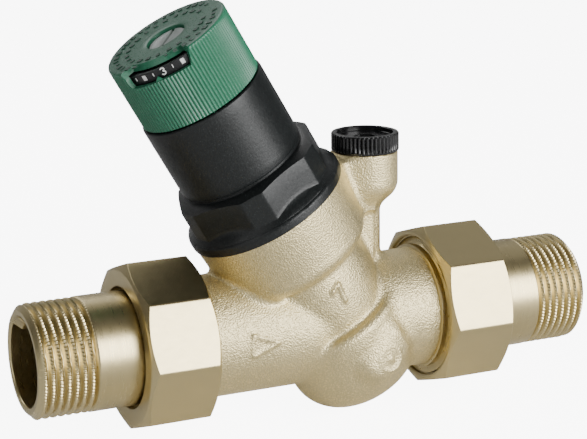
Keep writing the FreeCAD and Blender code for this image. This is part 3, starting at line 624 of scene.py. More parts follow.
def bumped(tree, shader, height, strength, distance):
    made = node(tree, "ShaderNodeBump")
    made.inputs["Strength"].default_value = strength
    made.inputs["Distance"].default_value = distance
    tree.links.new(height, made.inputs["Height"])
    tree.links.new(made.outputs["Normal"], shader.inputs["Normal"])


def tint(colour, factor, alpha=1.0):
    return tuple(min(1.0, c * factor) for c in colour[:3]) + (alpha,)


def cast_brass(colour):
    """Shot-blasted brass whose brightest grain specks are lightened as painted glints, with brighter worn edges."""
    material, tree, shader = new_material("cast brass", Metallic=1.0)
    skin_group = use_group(tree, "Blasted Skin", Grain_Scale=2100.0, Dimple_Depth=1.0, Roll_Depth=0.35)
    wear = use_group(tree, "Edge Wear", Width=0.5, Break_Up=0.5)
    base = mixed(tree, skin_group.outputs["Cloud"], tint(colour, 0.88), tint(colour, 1.06))
    # Painted glints: the brightest specks of the grain get a lighter base colour that stands in for sparkling
    # reflections of the lights.
    painted_glint = ramp(tree, skin_group.outputs["Grain"], 0.48, 0.70)
    base = mixed(tree, painted_glint, base, tint(colour, 1.35))
    base = mixed(tree, wear.outputs["Mask"], base, tint(colour, 1.3))
    tree.links.new(base, shader.inputs["Base Color"])
    tree.links.new(ramp(tree, skin_group.outputs["Grain"], 0.3, 0.7, 0.40, 0.56), shader.inputs["Roughness"])
    bumped(tree, shader, skin_group.outputs["Height"], 0.95, 0.00017)
    return material


def turned_metal(name, colour, stretch, rough, strength=0.12):
    """Turned or milled metal, with its marks drawn out along one direction."""
    material, tree, shader = new_material(name, Metallic=1.0)
    marks = use_group(tree, "Tool Marks", Stretch=stretch, Scale=700.0)
    wear = use_group(tree, "Edge Wear", Width=0.8, Break_Up=0.3)
    base = mixed(tree, marks.outputs["Tone"], tint(colour, 0.95), tint(colour, 1.05))
    base = mixed(tree, wear.outputs["Mask"], base, tint(colour, 1.3))
    tree.links.new(base, shader.inputs["Base Color"])
    tree.links.new(ramp(tree, marks.outputs["Height"], 0.3, 0.7, rough[0], rough[1]), shader.inputs["Roughness"])
    bumped(tree, shader, marks.outputs["Height"], strength, 0.00003)
    return material


def moulded(name, colour, rough, scale, specks, depth, strength=0.4, speck_tint=2.5, **fixed):
    """Polymer or rubber with its texture, pale specks and worn edges."""
    material, tree, shader = new_material(name, **fixed)
    texture = use_group(tree, "Moulded Skin", Texture_Scale=scale, Speck_Share=specks)
    wear = use_group(tree, "Edge Wear", Width=0.6, Break_Up=0.35)
    base = mixed(tree, texture.outputs["Cloud"], tint(colour, 0.85), tint(colour, 1.12))
    base = mixed(tree, maths(tree, "MULTIPLY", texture.outputs["Specks"], 0.7), base, tint(colour, speck_tint))
    base = mixed(tree, maths(tree, "MULTIPLY", wear.outputs["Mask"], 0.35), base, tint(colour, 1.8))
    tree.links.new(base, shader.inputs["Base Color"])
    tree.links.new(ramp(tree, texture.outputs["Height"], 0.3, 0.7, rough - 0.06, rough + 0.08),
                   shader.inputs["Roughness"])
    bumped(tree, shader, texture.outputs["Height"], strength, depth)
    return material


def steel(name, colour, rough):
    return turned_metal(name, colour, (1.0, 1.0, 1.0), (rough - 0.06, rough + 0.08))


# ---- settings ----------------------------------------------------------------------------------------
class UnionSettings(bpy.types.PropertyGroup):
    thread_radius: FloatProperty(name="Thread radius", description="Crest radius of the tailpieces' thread",
                                 default=0.01662, unit="LENGTH")
    thread_pitch: FloatProperty(name="Thread pitch", description="Advance of the tailpieces' thread in one turn",
                                default=0.002309, unit="LENGTH")
    beads: IntProperty(name="Crest nicks", description="Nicks rolled into each turn of the thread's crest",
                       default=96)
    nut_flats: FloatProperty(name="Nut across flats", description="Width of the octagonal union nuts",
                             default=0.0467, unit="LENGTH")
    nut_width: FloatProperty(name="Nut width", description="Length of each union nut along the pipe",
                             default=0.0213, unit="LENGTH")
    colour: FloatVectorProperty(name="Machined brass", description="Colour of the turned and milled brass",
                                default=(0.60, 0.50, 0.27), subtype="COLOR")


class CastingSettings(bpy.types.PropertyGroup):
    grid: FloatProperty(name="Surface step", description="Spacing of the casting's mesh",
                        default=0.00056, unit="LENGTH")
    colour: FloatVectorProperty(name="Cast brass", description="Colour of the blasted casting",
                                default=(0.68, 0.58, 0.33), subtype="COLOR")


class BonnetSettings(bpy.types.PropertyGroup):
    barrel_radius: FloatProperty(name="Barrel radius", description="Radius of the spring bonnet's barrel",
                                 default=0.0192, unit="LENGTH")
    colour: FloatVectorProperty(name="Bonnet", description="Colour of the bonnet's filled polymer",
                                default=(0.0065, 0.008, 0.008), subtype="COLOR")


class KnobSettings(bpy.types.PropertyGroup):
    radius: FloatProperty(name="Knob radius", description="Outside radius of the adjusting knob",
                          default=0.0187, unit="LENGTH")
    ribs: IntProperty(name="Grip ribs", description="Number of fine ribs round the knob", default=110)
    colour: FloatVectorProperty(name="Knob", description="Colour of the adjusting knob",
                                default=(0.022, 0.150, 0.080), subtype="COLOR")


class PlugSettings(bpy.types.PropertyGroup):
    radius: FloatProperty(name="Plug radius", description="Outside radius of the gauge port plug",
                          default=0.01014, unit="LENGTH")
    knurls: IntProperty(name="Plug knurls", description="Number of knurls round the plug", default=48)


class StageSettings(bpy.types.PropertyGroup):
    floor_drop: FloatProperty(name="Floor below", description="Gap between the regulator and the floor",
                              default=0.0005, unit="LENGTH")
    key_power: FloatProperty(name="Key light", description="Power of the main softbox in watts", default=14.5)
    fill_power: FloatProperty(name="Fill light", description="Power of the left softbox in watts", default=1.6)
    ambient: FloatProperty(name="Ambient", description="Strength of the light from all round", default=0.10)
    backdrop_glow: FloatProperty(name="Backdrop glow", description="Brightness that the backdrop shows to the camera",
                                 default=8.0)


# ---- pieces ------------------------------------------------------------------------------------------
def thread_tooth(phase):
    """Height of a 55 degree thread, 0 at the root and 1 at the crest, over one pitch."""
    away = np.abs(((phase + 0.5) % 1.0) - 0.5)
    return np.clip((0.45 - away) / 0.32, 0, 1)


def build_tailpiece(name, place, settings):
    """A tailpiece with a helical thread, nicked along its crest."""
    crest = settings.thread_radius * 1000
    pitch = settings.thread_pitch * 1000
    depth, around = 1.32, settings.beads * 6
    angles = np.linspace(0, 2 * math.pi, around, endpoint=False)
    pipe_r, mouth_r = 16.7, 14.85
    rows = rings(angles, ((20.5, 38.2), (20.5, 34.1), (20.2, 33.85), (pipe_r, 33.85), (pipe_r, 30.5),
                          (pipe_r, 25.0), (pipe_r, 20.0), (pipe_r, 18.35)))
    for x in np.arange(18.1, 0.62, -0.132):
        fade = min(1.0, max(0.0, (17.4 - x) / 0.9))
        lead = min(1.0, max(0.0, (x - 0.1) / 1.5))
        tooth = thread_tooth((x - 1.5) / pitch - angles / (2 * math.pi))
        nick = 0.5 - 0.5 * np.cos(settings.beads * angles)
        top = tooth - 0.26 * nick * np.clip((tooth - 0.6) / 0.4, 0, 1)
        limit = mouth_r + (crest - mouth_r) * lead
        threaded = crest - depth * (1 - top)
        blended = threaded * fade + pipe_r * (1 - fade) if x > 16.4 else threaded
        rows.append(ring_row(angles, np.minimum(blended, limit + 0.15), x))
    rows += rings(angles, ((14.95, 0.22), (14.75, 0.02), (14.55, 0.0), (13.55, 0.0), (13.25, 0.12),
                           (BORE_R, 0.5)))
    lugs = np.zeros(around)
    for middle in (55.0, 235.0):
        gap = np.abs((np.degrees(angles) - middle + 180) % 360 - 180)
        lugs = np.maximum(lugs, np.clip((13.0 - gap) / 1.4, 0, 1))
    for x, share in ((0.55, 0.04), (2.45, 0.93), (2.75, 1.0), (5.5, 1.0), (8.3, 1.0), (8.5, 0.9), (8.6, 0.0),
                     (16.0, 0.0), (28.0, 0.0), (38.0, 0.0)):
        rows.append(ring_row(angles, BORE_R - 2.4 * lugs * share, x))
    rows.append(ring_row(angles, 13.2, 38.2))
    return skin(name, rows, place, True, 40.0)


def build_union_nut(name, place, settings, first_deg):
    """An octagonal union nut; its chamfers cut the flats in shallow arcs."""
    width = settings.nut_width * 1000
    angles, outline = polygon_outline(8, settings.nut_flats * 1000, first_deg, 0.45, 10, 3)
    face_r, slope = 22.5, 1.7 / 2.77
    start = 30.0
    end = start + width
    cut = (outline - face_r) * slope
    rows = [ring_row(angles, 18.3, start), ring_row(angles, face_r - 0.1, start)]
    for share in (0.06, 0.5, 1.0):
        rows.append(ring_row(angles, face_r + (outline - face_r) * share, start + cut * share))
    for share in (0.08, 0.5, 0.92):
        rows.append(ring_row(angles, outline, start + cut + (width - 2 * cut) * share))
    for share in (1.0, 0.5, 0.06):
        rows.append(ring_row(angles, face_r + (outline - face_r) * share, end - cut * share))
    rows += rings(angles, ((face_r - 0.1, end), (21.95, end), (21.55, end - 0.35), (21.5, end - 1.4)))
    for turn in range(4):
        x = end - 1.5 - turn * UNION_PITCH
        rows += rings(angles, ((21.12, x), (21.12, x - 0.7), (21.6, x - 1.3), (21.6, x - 1.65)))
    rows += rings(angles, ((21.12, 40.4), (21.12, 34.25), (20.9, 34.02), (17.8, 34.02), (17.72, 33.9),
                           (17.7, 30.5), (17.85, 30.12)))
    return softened(skin(name, rows, place, True, 20.0), 0.22, 2, 24.0)


def build_casting(settings):
    """The casting's skin, netted over its distances and drawn onto the true surface."""
    step = settings.grid * 1000
    low = np.array([49.8, -26.3, -33.4])
    high = np.array([126.8, 26.3, 53.0])
    counts = [int(math.ceil((high[k] - low[k]) / step)) for k in range(3)]
    field = sampled_distance(low, counts, step)
    verts, faces = surface_net(field, low, step)
    verts = drawn_to_surface(verts)
    return new_object("valve_casting", verts / 1000.0, faces.tolist(), None, 44.0)


def build_casting_end(name, place):
    """The machined, threaded end of the casting, which the union nut screws onto."""
    angles = np.linspace(0, 2 * math.pi, 128, endpoint=False)
    rows = rings(angles, ((BORE_R, 40.8), (13.15, 40.7), (19.4, 40.7)))
    for x in np.arange(40.75, 50.4, 0.19):
        tooth = thread_tooth((x - 41.6) / UNION_PITCH - angles / (2 * math.pi))
        grow = min(1.0, (x - 40.4) / 1.2)
        rows.append(ring_row(angles, 19.4 + (1.555 * tooth) * grow, x))
    rows += rings(angles, ((18.98, 50.55), (18.98, 52.2), (18.6, 52.45), (18.0, 52.5), (18.0, 53.2), (13.02, 53.2)))
    return skin(name, rows, place, True, 40.0)


def build_bonnet(settings):
    """Flange, coned hexagon with cut corners, and barrel, in one moulding with its skirt and bore."""
    barrel = settings.barrel_radius * 1000
    angles, outline = polygon_outline(12, 42.8, 39.0, 0.5, 8, 3, [42.8, 45.4])
    rim, crown = 24.4, 23.7
    foot = 45.8 + (rim - outline)
    top = 56.1 + (crown - outline) / 2.4
    wobble = 0.05 * np.sin(angles * 61) + 0.04 * np.sin(angles * 97 + 1.0)
    rows = rings(angles, (
        (15.6, 35.1), (19.4, 35.1), (19.7, 35.4), (19.7, 42.4), (20.2, 42.82), (24.4, 42.82), (24.72, 43.05),
        (24.74, 44.9), (24.66 + wobble, 45.35), (24.42 + wobble, 45.75), (24.1 + wobble * 0.5, 45.98)))
    for share in (0.15, 0.6, 0.94):
        rows.append(ring_row(angles, rim + (outline - rim) * share, 45.8 + (foot - 45.8) * share + 0.05))
    rows.append(ring_row(angles, outline, foot + 0.35))
    for share in (0.1, 0.5, 0.94):
        rows.append(ring_row(angles, outline, foot + 0.35 + (top - foot - 0.35) * share))
    for share in (0.04, 0.5, 0.96):
        rows.append(ring_row(angles, outline + (19.7 - outline) * share, top + (57.8 - top) * share))
    rows += rings(angles, ((18.95, 57.85), (18.8, 58.0), (18.8, 58.55), (barrel - 0.12, 58.75), (barrel, 59.1)))
    rows += rings(angles, [(barrel, h) for h in np.linspace(61.0, 81.6, 9)])
    rows += rings(angles, (
        (barrel - 0.08, 82.1), (barrel - 0.35, 82.38), (13.5, 82.4), (13.2, 82.6), (13.2, 96.1), (10.3, 96.1),
        (10.2, 95.9), (10.2, 82.4), (5.2, 82.4), (5.07, 82.2), (5.07, 79.2), (5.3, 79.1), (15.3, 79.1),
        (15.6, 78.8), (15.6, 57.0)))
    return skin("bonnet_shell", rows, on_spring_axis(), True, 26.0)


def cut_by(piece, cutter):
    """Takes the cutter's shape out of the piece and throws the cutter away."""
    cut = piece.modifiers.new("cut", "BOOLEAN")
    cut.operation = "DIFFERENCE"
    cut.solver = "EXACT"
    cut.object = cutter
    bpy.context.view_layer.update()
    shaped = bpy.data.meshes.new_from_object(piece.evaluated_get(bpy.context.evaluated_depsgraph_get()))
    piece.modifiers.clear()
    old = piece.data
    piece.data = shaped
    bpy.data.meshes.remove(old)
    bpy.data.objects.remove(cutter)
    return piece


def window_cutter():
    """The knob's window: a sector that widens and deepens towards the top."""
    columns, rings = 28, []
    for low, inner, outer, first, last, spread in (
            (97.82, 15.3, 19.8, 97.4, 158.8, 0.0), (100.7, 15.35, 19.8, 95.6, 160.0, 1.6),
            (104.2, 12.9, 19.8, 93.6, 163.2, 3.2)):
        for radius, more in ((inner, 0.0), (outer, spread)):
            turns = np.radians(np.linspace(first - more, last + more, columns + 1))
            rings.append([(radius * math.cos(t), -radius * math.sin(t), low) for t in turns])
    verts = [v for ring in rings for v in ring]
    n = columns + 1
    faces = []
    for low, high in ((0, 2), (2, 4)):
        for k in range(columns):
            faces.append((low * n + k, low * n + k + 1, high * n + k + 1, high * n + k))
            faces.append(((low + 1) * n + k, (high + 1) * n + k, (high + 1) * n + k + 1, (low + 1) * n + k + 1))
        for k in (0, columns):
            faces.append((low * n + k, (low + 1) * n + k, (high + 1) * n + k, high * n + k))
    for k in range(columns):
        faces.append((k, n + k, n + k + 1, k + 1))
        faces.append((4 * n + k, 4 * n + k + 1, 5 * n + k + 1, 5 * n + k))
    return new_object("window_cutter", verts, faces, on_spring_axis())


def build_knob(settings):
    """The ribbed knob with its window, hub and recess."""
    radius = settings.radius * 1000
    angles = np.linspace(0, 2 * math.pi, settings.ribs * 6, endpoint=False)
    wave = np.clip(0.5 - 0.5 * np.cos(settings.ribs * angles), 0, 1) ** 1.4
    rows = rings(angles, ((17.1, 82.95), (17.25, 82.8), (radius - 0.35, 82.76)))
    for h, share in ((82.95, 0.7), (83.3, 1.0), (88.0, 1.0), (93.0, 1.0), (97.0, 1.0), (101.0, 1.0), (101.7, 0.8),
                     (102.1, 0.35)):
        rows.append(ring_row(angles, radius - 0.34 * wave * share, h))
    rows += rings(angles, (
        (radius - 0.14, 102.42), (radius - 0.45, 102.68), (radius - 0.9, 102.75), (14.0, 102.75), (8.0, 102.75),
        (6.3, 102.75), (6.05, 102.6), (6.0, 102.3), (6.0, 100.35), (5.05, 100.3), (5.05, 85.6), (8.5, 85.6),
        (8.6, 85.8), (8.6, 101.2), (17.0, 101.2), (17.1, 101.0)))
    knob = skin("adjusting_knob_grip", rows, on_spring_axis(), True, 32.0)
    cut_by(knob, window_cutter())
    knob.data.shade_smooth()
    knob.data.set_sharp_from_angle(angle=math.radians(32.0))
    return knob


def bent_block(r0, r1, a0, a1, h0, h1, steps=4):
    """Verts and faces of a block bent about the spring axis."""
    verts, faces = [], []
    for k in range(steps + 1):
        a = math.radians(a0 + (a1 - a0) * k / steps)
        for r, h in ((r0, h0), (r1, h0), (r1, h1), (r0, h1)):
            verts.append((r * math.cos(a), r * math.sin(a), h))
    for k in range(steps):
        for c in range(4):
            d = (c + 1) % 4
            faces.append((4 * k + c, 4 * k + d, 4 * k + 4 + d, 4 * k + 4 + c))
    faces += [(3, 2, 1, 0), (4 * steps, 4 * steps + 1, 4 * steps + 2, 4 * steps + 3)]
    return verts, faces


def joined(name, blocks, place, smooth_deg=35.0):
    """One object from several lots of verts and faces."""
    verts, faces = [], []
    for more, sides in blocks:
        base = len(verts)
        verts += more
        faces += [tuple(base + i for i in side) for side in sides]
    return new_object(name, verts, faces, place, smooth_deg)


def knob_top_marks():
    """Two rings of short raised bars on the knob's top, left out at the window."""
    blocks = []
    low, high = 102.62, 102.98
    for k in range(34):
        a = 10.0 * k + 5
        if 115 < (-a) % 360 < 148:
            continue
        length = 3.2 + 2.2 * ((k * 7) % 3) / 2
        blocks.append(bent_block(15.0, 16.6 if k % 4 else 16.0, a, a + length, low, high))
    for k in range(22):
        a = 15.5 * k
        blocks.append(bent_block(11.6, 12.9, a, a + 4.5 + 2.5 * ((k * 5) % 3) / 2, low, high))
    return joined("knob_marks", blocks, on_spring_axis())


def build_scale():
    """The black band that carries the scale's marks."""
    outline = [(15.35, 96.3), (16.75, 96.3), (16.75, 100.75), (15.4, 100.75), (15.4, 97.7), (15.35, 97.7)]
    return lathe("scale_band", outline, on_spring_axis(), 160, 0.12)


BLOCK_FACES = [(0, 1, 2, 3), (7, 6, 5, 4), (0, 4, 5, 1), (1, 5, 6, 2), (2, 6, 7, 3), (3, 7, 4, 0)]
DIGITS = {
    "2": [[(-0.5, 0.5), (-0.3, 0.82), (0.1, 0.92), (0.45, 0.65), (0.4, 0.25), (-0.5, -0.9), (0.52, -0.9)]],
    "3": [[(-0.5, 0.62), (-0.2, 0.9), (0.22, 0.88), (0.46, 0.6), (0.35, 0.2), (-0.05, 0.06), (0.4, -0.1),
           (0.55, -0.45), (0.3, -0.82), (-0.15, -0.92), (-0.55, -0.62)]],
    "4": [[(0.3, -0.9), (0.3, 0.9), (-0.55, -0.35), (0.55, -0.35)]],
    "5": [[(0.45, 0.9), (-0.4, 0.9), (-0.45, 0.15), (0.1, 0.25), (0.5, -0.15), (0.35, -0.7), (-0.1, -0.92),
           (-0.5, -0.6)]],
    "6": [[(0.35, 0.85), (-0.15, 0.6), (-0.48, -0.1), (-0.35, -0.75), (0.1, -0.92), (0.5, -0.5), (0.3, 0.0),
           (-0.2, 0.02), (-0.45, -0.3)]],
}


def digit_stroke(turn, middle, r0, r1, first, last):
    """Verts and faces of one straight stroke of a numeral, bent round the scale."""
    (x0, y0), (x1, y1) = first, last
    length = math.hypot(x1 - x0, y1 - y0)
    nx, ny = -(y1 - y0) / length * 0.16, (x1 - x0) / length * 0.16
    corners = [(x0 + nx, y0 + ny), (x0 - nx, y0 - ny), (x1 - nx, y1 - ny), (x1 + nx, y1 + ny)]
    verts = []
    for r in (r0, r1):
        for cx, cy in corners:
            a = math.radians(-turn) + cx * 1.15 / 17.0
            verts.append((r * math.cos(a), r * math.sin(a), middle - 0.2 + cy * 1.12))
    return verts, BLOCK_FACES


def scale_marks():
    """White numerals, ticks and half-unit squares on the scale, 42 degrees to the unit."""
    r0, r1, middle = 16.6, 16.9, 99.75
    blocks = []
    per_unit = 42.0
    at_three = 122.9
    for tenth in range(15, 65, 5):
        turn = at_three + (tenth / 10 - 3.0) * per_unit
        if tenth % 10:
            blocks.append(bent_block(r0, r1, -turn - 1.9, -turn + 1.9, middle - 1.0, middle + 0.55, 3))
        else:
            for stroke in DIGITS[str(tenth // 10)]:
                for first, last in zip(stroke[:-1], stroke[1:]):
                    blocks.append(digit_stroke(turn, middle, r0, r1, first, last))
        if tenth < 60:
            quarter = turn + per_unit / 4
            blocks.append(bent_block(r0, r1, -quarter - 0.35, -quarter + 0.35, middle - 0.6, middle + 0.4, 2))
    return joined("scale_marks", blocks, on_spring_axis())


def scale_pointer():
    """The small pointer on the window's sill."""
    a = math.radians(-129.3)
    low, high = 97.6, 99.0
    verts = []
    for r in (17.2, 18.3):
        for da, h in ((-0.07, low), (0.07, low), (0.0, high)):
            verts.append((r * math.cos(a + da), r * math.sin(a + da), h))
    faces = [(0, 1, 2), (5, 4, 3), (0, 3, 4, 1), (1, 4, 5, 2), (2, 5, 3, 0)]
    return softened(new_object("scale_pointer", verts, faces, on_spring_axis()), 0.12)


def build_lock_screw():
    """A slotted disc in the knob's recess, with its shank."""
    angles = np.linspace(0, 2 * math.pi, 96, endpoint=False)
    rows = rings(angles, (
        (0.0, 101.95), (5.1, 101.95), (5.5, 101.87), (5.68, 101.6), (5.7, 100.6), (5.6, 100.46), (2.5, 100.46),
        (2.5, 92.0), (2.2, 91.6), (0.0, 91.6)))
    screw = skin("lock_screw_head", rows, on_spring_axis(), False, 30.0)
    slot_turn = 0.72
    c, s = math.cos(slot_turn), math.sin(slot_turn)
    verts = []
    for h in (101.05, 103.0):
        for u, v in ((-7, -0.7), (7, -0.7), (7, 0.7), (-7, 0.7)):
            verts.append((u * c - v * s, u * s + v * c, h))
    return cut_by(screw, new_object("slot_cutter", verts, BLOCK_FACES, on_spring_axis()))


def build_plug(settings):
    """The knurled gauge port plug with its recessed top."""
    radius = settings.radius * 1000
    angles = np.linspace(0, 2 * math.pi, settings.knurls * 8, endpoint=False)
    wave = np.clip(0.5 - 0.5 * np.cos(settings.knurls * angles), 0, 1) ** 2.0
    seat, top = 50.5, 56.05
    rows = rings(angles, ((8.9, seat), (radius - 0.35, seat), (radius - 0.1, seat + 0.12), (radius, seat + 0.5)))
    for h, share in ((seat + 0.9, 1.0), (seat + 2.4, 1.0), (top - 0.8, 1.0), (top - 0.4, 0.6)):
        rows.append(ring_row(angles, radius - 0.42 * wave * share, h))
    hexagon = 3.0 / np.cos((angles + math.pi / 6) % (math.pi / 3) - math.pi / 6)
    rows += rings(angles, (
        (radius - 0.25, top - 0.1), (radius - 0.6, top), (8.65, top), (8.4, top - 0.2), (8.35, top - 1.35),
        (8.15, top - 1.5), (5.0, top - 1.5), (hexagon + 0.1, top - 1.5), (hexagon, top - 1.65),
        (hexagon, top - 3.5), (0.0, top - 3.5)))
    return skin("gauge_plug_cap", rows, on_port(), False, 36.0)


def build_plug_shank():
    """The threaded shank below the plug's cap."""
    angles = np.linspace(0, 2 * math.pi, 96, endpoint=False)
    rows = rings(angles, ((8.9, 50.5), (8.84, 52.1), (7.2, 52.1), (7.15, 50.5)))
    for z in np.arange(50.3, 43.9, -0.167):
        tooth = thread_tooth(z / PORT_PITCH - angles / (2 * math.pi))
        rows.append(ring_row(angles, 5.9 + 0.58 * tooth, z))
    rows += rings(angles, ((5.6, 43.5), (0.0, 43.5)))
    return skin("gauge_plug_shank", rows, on_port(), False, 36.0)


def build_spring():
    """The adjusting spring with closed, ground end coils."""
    wire, mean, low, high = 1.6, 10.6, 37.2, 66.7
    turns, steps = 7.4, 44
    count = int(turns * steps)
    rows = []
    for k in range(count + 1):
        t = k / count
        a = turns * 2 * math.pi * t
        eased_t = np.interp(t, [0, 0.12, 0.88, 1.0], [0.0, 0.045, 0.955, 1.0])
        centre = np.array([mean * math.cos(a), mean * math.sin(a), low + (high - low) * eased_t])
        out = np.array([math.cos(a), math.sin(a), 0])
        ring = [centre + wire * (math.cos(b) * out + math.sin(b) * np.array([0, 0, 1.0]))
                for b in np.linspace(0, 2 * math.pi, 16, endpoint=False)]
        rows.append(ring)
    rows = [[np.mean(rows[0], axis=0)] * 16] + rows + [[np.mean(rows[-1], axis=0)] * 16]
    return skin("coil_spring", rows, on_spring_axis(), False, 40.0)


# ---- operators ---------------------------------------------------------------------------------------
class REGULATOR_OT_finishes(bpy.types.Operator):
    """Make the shader groups and materials"""
    bl_idname = "regulator.finishes"
    bl_label = "Finishes"

    def execute(self, context):
        scene = context.scene
        GROUPS.update({tree.name: tree for tree in (
            edge_wear_group(), blast_grain_group(), tool_marks_group(), moulded_group())})
        brass = tuple(scene.regulator_unions.colour)
        cast_brass(tuple(scene.regulator_casting.colour))
        turned_metal("turned brass", brass, (5.0, 0.25, 0.25), (0.26, 0.36))
        turned_metal("milled brass", brass, (0.5, 1.0, 1.0), (0.28, 0.33), 0.012)
        moulded("bonnet polymer", tuple(scene.regulator_bonnet.colour), 0.37, 1500.0, 0.9, 0.00011, 0.5, 7.0,
                Specular_IOR_Level=0.38)
        moulded("knob polymer", tuple(scene.regulator_knob.colour), 0.30, 2200.0, 0.1, 0.00003, 0.3, 1.6)
        moulded("mark green", tint(scene.regulator_knob.colour, 0.35)[:3], 0.45, 2200.0, 0.1, 0.00003)
        moulded("plug polymer", (0.004, 0.004, 0.0045), 0.22, 2600.0, 0.1, 0.00002, 0.2)
        moulded("dial black", (0.008, 0.008, 0.009), 0.32, 2600.0, 0.1, 0.00002, 0.2)
        moulded("dial white", (0.78, 0.78, 0.75), 0.5, 2600.0, 0.1, 0.00002, 0.2, 1.1)
        moulded("screw polymer", (0.42, 0.46, 0.44), 0.42, 2000.0, 0.3, 0.00004, 0.3, 1.4)
        moulded("insert polymer", (0.72, 0.72, 0.68), 0.45, 2000.0, 0.3, 0.00004, 0.3, 1.2)
        moulded("seal rubber", (0.020, 0.020, 0.020), 0.62, 1600.0, 0.4, 0.00005, 0.4)
        moulded("gasket fibre", (0.20, 0.09, 0.05), 0.75, 900.0, 0.9, 0.0001, 0.6)
        steel("stainless steel", (0.60, 0.60, 0.60), 0.28)
        steel("spindle steel", (0.46, 0.45, 0.44), 0.30)
        steel("spring steel", (0.34, 0.34, 0.36), 0.36)
        return {"FINISHED"}


class REGULATOR_OT_inner_pieces(bpy.types.Operator):
    """Give every CAD node that stays its finish, and build the spring"""
    bl_idname = "regulator.inner_pieces"
    bl_label = "Inner Pieces"

    def execute(self, context):
        finish = {
            "cast_brass": "cast brass", "machined_brass": "turned brass", "black_polymer": "bonnet polymer",
            "green_polymer": "knob polymer", "dial_black": "dial black", "grey_polymer": "screw polymer",
            "plug_black": "plug polymer", "insert_polymer": "insert polymer", "stainless": "stainless steel",
            "spindle_steel": "spindle steel", "spring_steel": "spring steel", "seal_rubber": "seal rubber",
            "gasket_fibre": "gasket fibre"}
        for part in frame["record"]["subparts"]:
            kept = frame["nodes"][part["node"]]
            kept.data.materials.clear()
            kept.data.materials.append(MATERIALS[finish[part["material_slot"]]])
        spring = finished(build_spring(), "body", "spring_steel", MATERIALS["spring steel"], "adjusting_spring")
        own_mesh(spring)
        return {"FINISHED"}


class REGULATOR_OT_unions(bpy.types.Operator):
    """Build both tailpieces and both union nuts"""
    bl_idname = "regulator.unions"
    bl_label = "Unions"

    def execute(self, context):
        settings = context.scene.regulator_unions
        turned, milled = MATERIALS["turned brass"], MATERIALS["milled brass"]
        for end, place, first_deg in (("inlet", on_inlet(), -20.1), ("outlet", on_outlet(), 18.2)):
            finished(build_tailpiece(end + "_tail", place, settings), end + "_tail", "machined_brass", turned,
                     end + "_tailpiece")
            finished(build_union_nut(end + "_nut", place, settings, first_deg), end + "_nut", "machined_brass",
                     milled, end + "_union_nut")
        return {"FINISHED"}


class REGULATOR_OT_casting(bpy.types.Operator):
    """Build the blasted casting and its machined ends"""
    bl_idname = "regulator.casting"
    bl_label = "Casting"

    def execute(self, context):
        casting = build_casting(context.scene.regulator_casting)
        if len(casting.data.polygons) < 20000:
            raise RuntimeError("the casting's surface came out too coarse")
        finished(casting, "body", "cast_brass", MATERIALS["cast brass"], "body_casting")
        for end, place in (("inlet", on_inlet()), ("outlet", on_outlet())):
            finished(build_casting_end(end + "_thread_end", place), "body", "machined_brass",
                     MATERIALS["turned brass"], "body_casting")
        return {"FINISHED"}


class REGULATOR_OT_bonnet(bpy.types.Operator):
    """Build the spring bonnet"""
    bl_idname = "regulator.bonnet"
    bl_label = "Spring Bonnet"

    def execute(self, context):
        finished(build_bonnet(context.scene.regulator_bonnet), "body", "black_polymer", MATERIALS["bonnet polymer"],
                 "spring_bonnet")
        return {"FINISHED"}


class REGULATOR_OT_knob(bpy.types.Operator):
    """Build the adjusting knob, its marks, the scale and the lock screw"""
    bl_idname = "regulator.knob"
    bl_label = "Knob And Scale"

    def execute(self, context):
        finished(build_knob(context.scene.regulator_knob), "knob", "green_polymer", MATERIALS["knob polymer"],
                 "adjusting_knob")
        finished(knob_top_marks(), "knob", "green_polymer", MATERIALS["mark green"], "adjusting_knob")
        finished(scale_pointer(), "knob", "green_polymer", MATERIALS["knob polymer"], "adjusting_knob")
        finished(build_scale(), "body", "dial_black", MATERIALS["dial black"], "scale_ring")
        finished(scale_marks(), "body", "dial_black", MATERIALS["dial white"], "scale_ring")
        finished(build_lock_screw(), "lock_screw", "grey_polymer", MATERIALS["screw polymer"], "lock_screw")
        return {"FINISHED"}


class REGULATOR_OT_plug(bpy.types.Operator):
    """Build the gauge port plug"""
    bl_idname = "regulator.plug"
    bl_label = "Gauge Port Plug"

    def execute(self, context):
        finished(build_plug(context.scene.regulator_plug), "plug", "plug_black", MATERIALS["plug polymer"],
                 "gauge_port_plug")
        finished(build_plug_shank(), "plug", "plug_black", MATERIALS["plug polymer"], "gauge_port_plug")
        return {"FINISHED"}


def softbox(name, place, aim, width, height, power):
    """A rectangular light that faces aim."""
    light = bpy.data.lights.new(name, "AREA")
    light.shape = "RECTANGLE"
    light.size, light.size_y = width, height
    light.energy = power
    lamp = bpy.data.objects.new(name, light)
    lamp.location = place
    lamp.rotation_euler = (Vector(aim) - Vector(place)).to_track_quat("-Z", "Y").to_euler()
    bpy.context.scene.collection.objects.link(lamp)


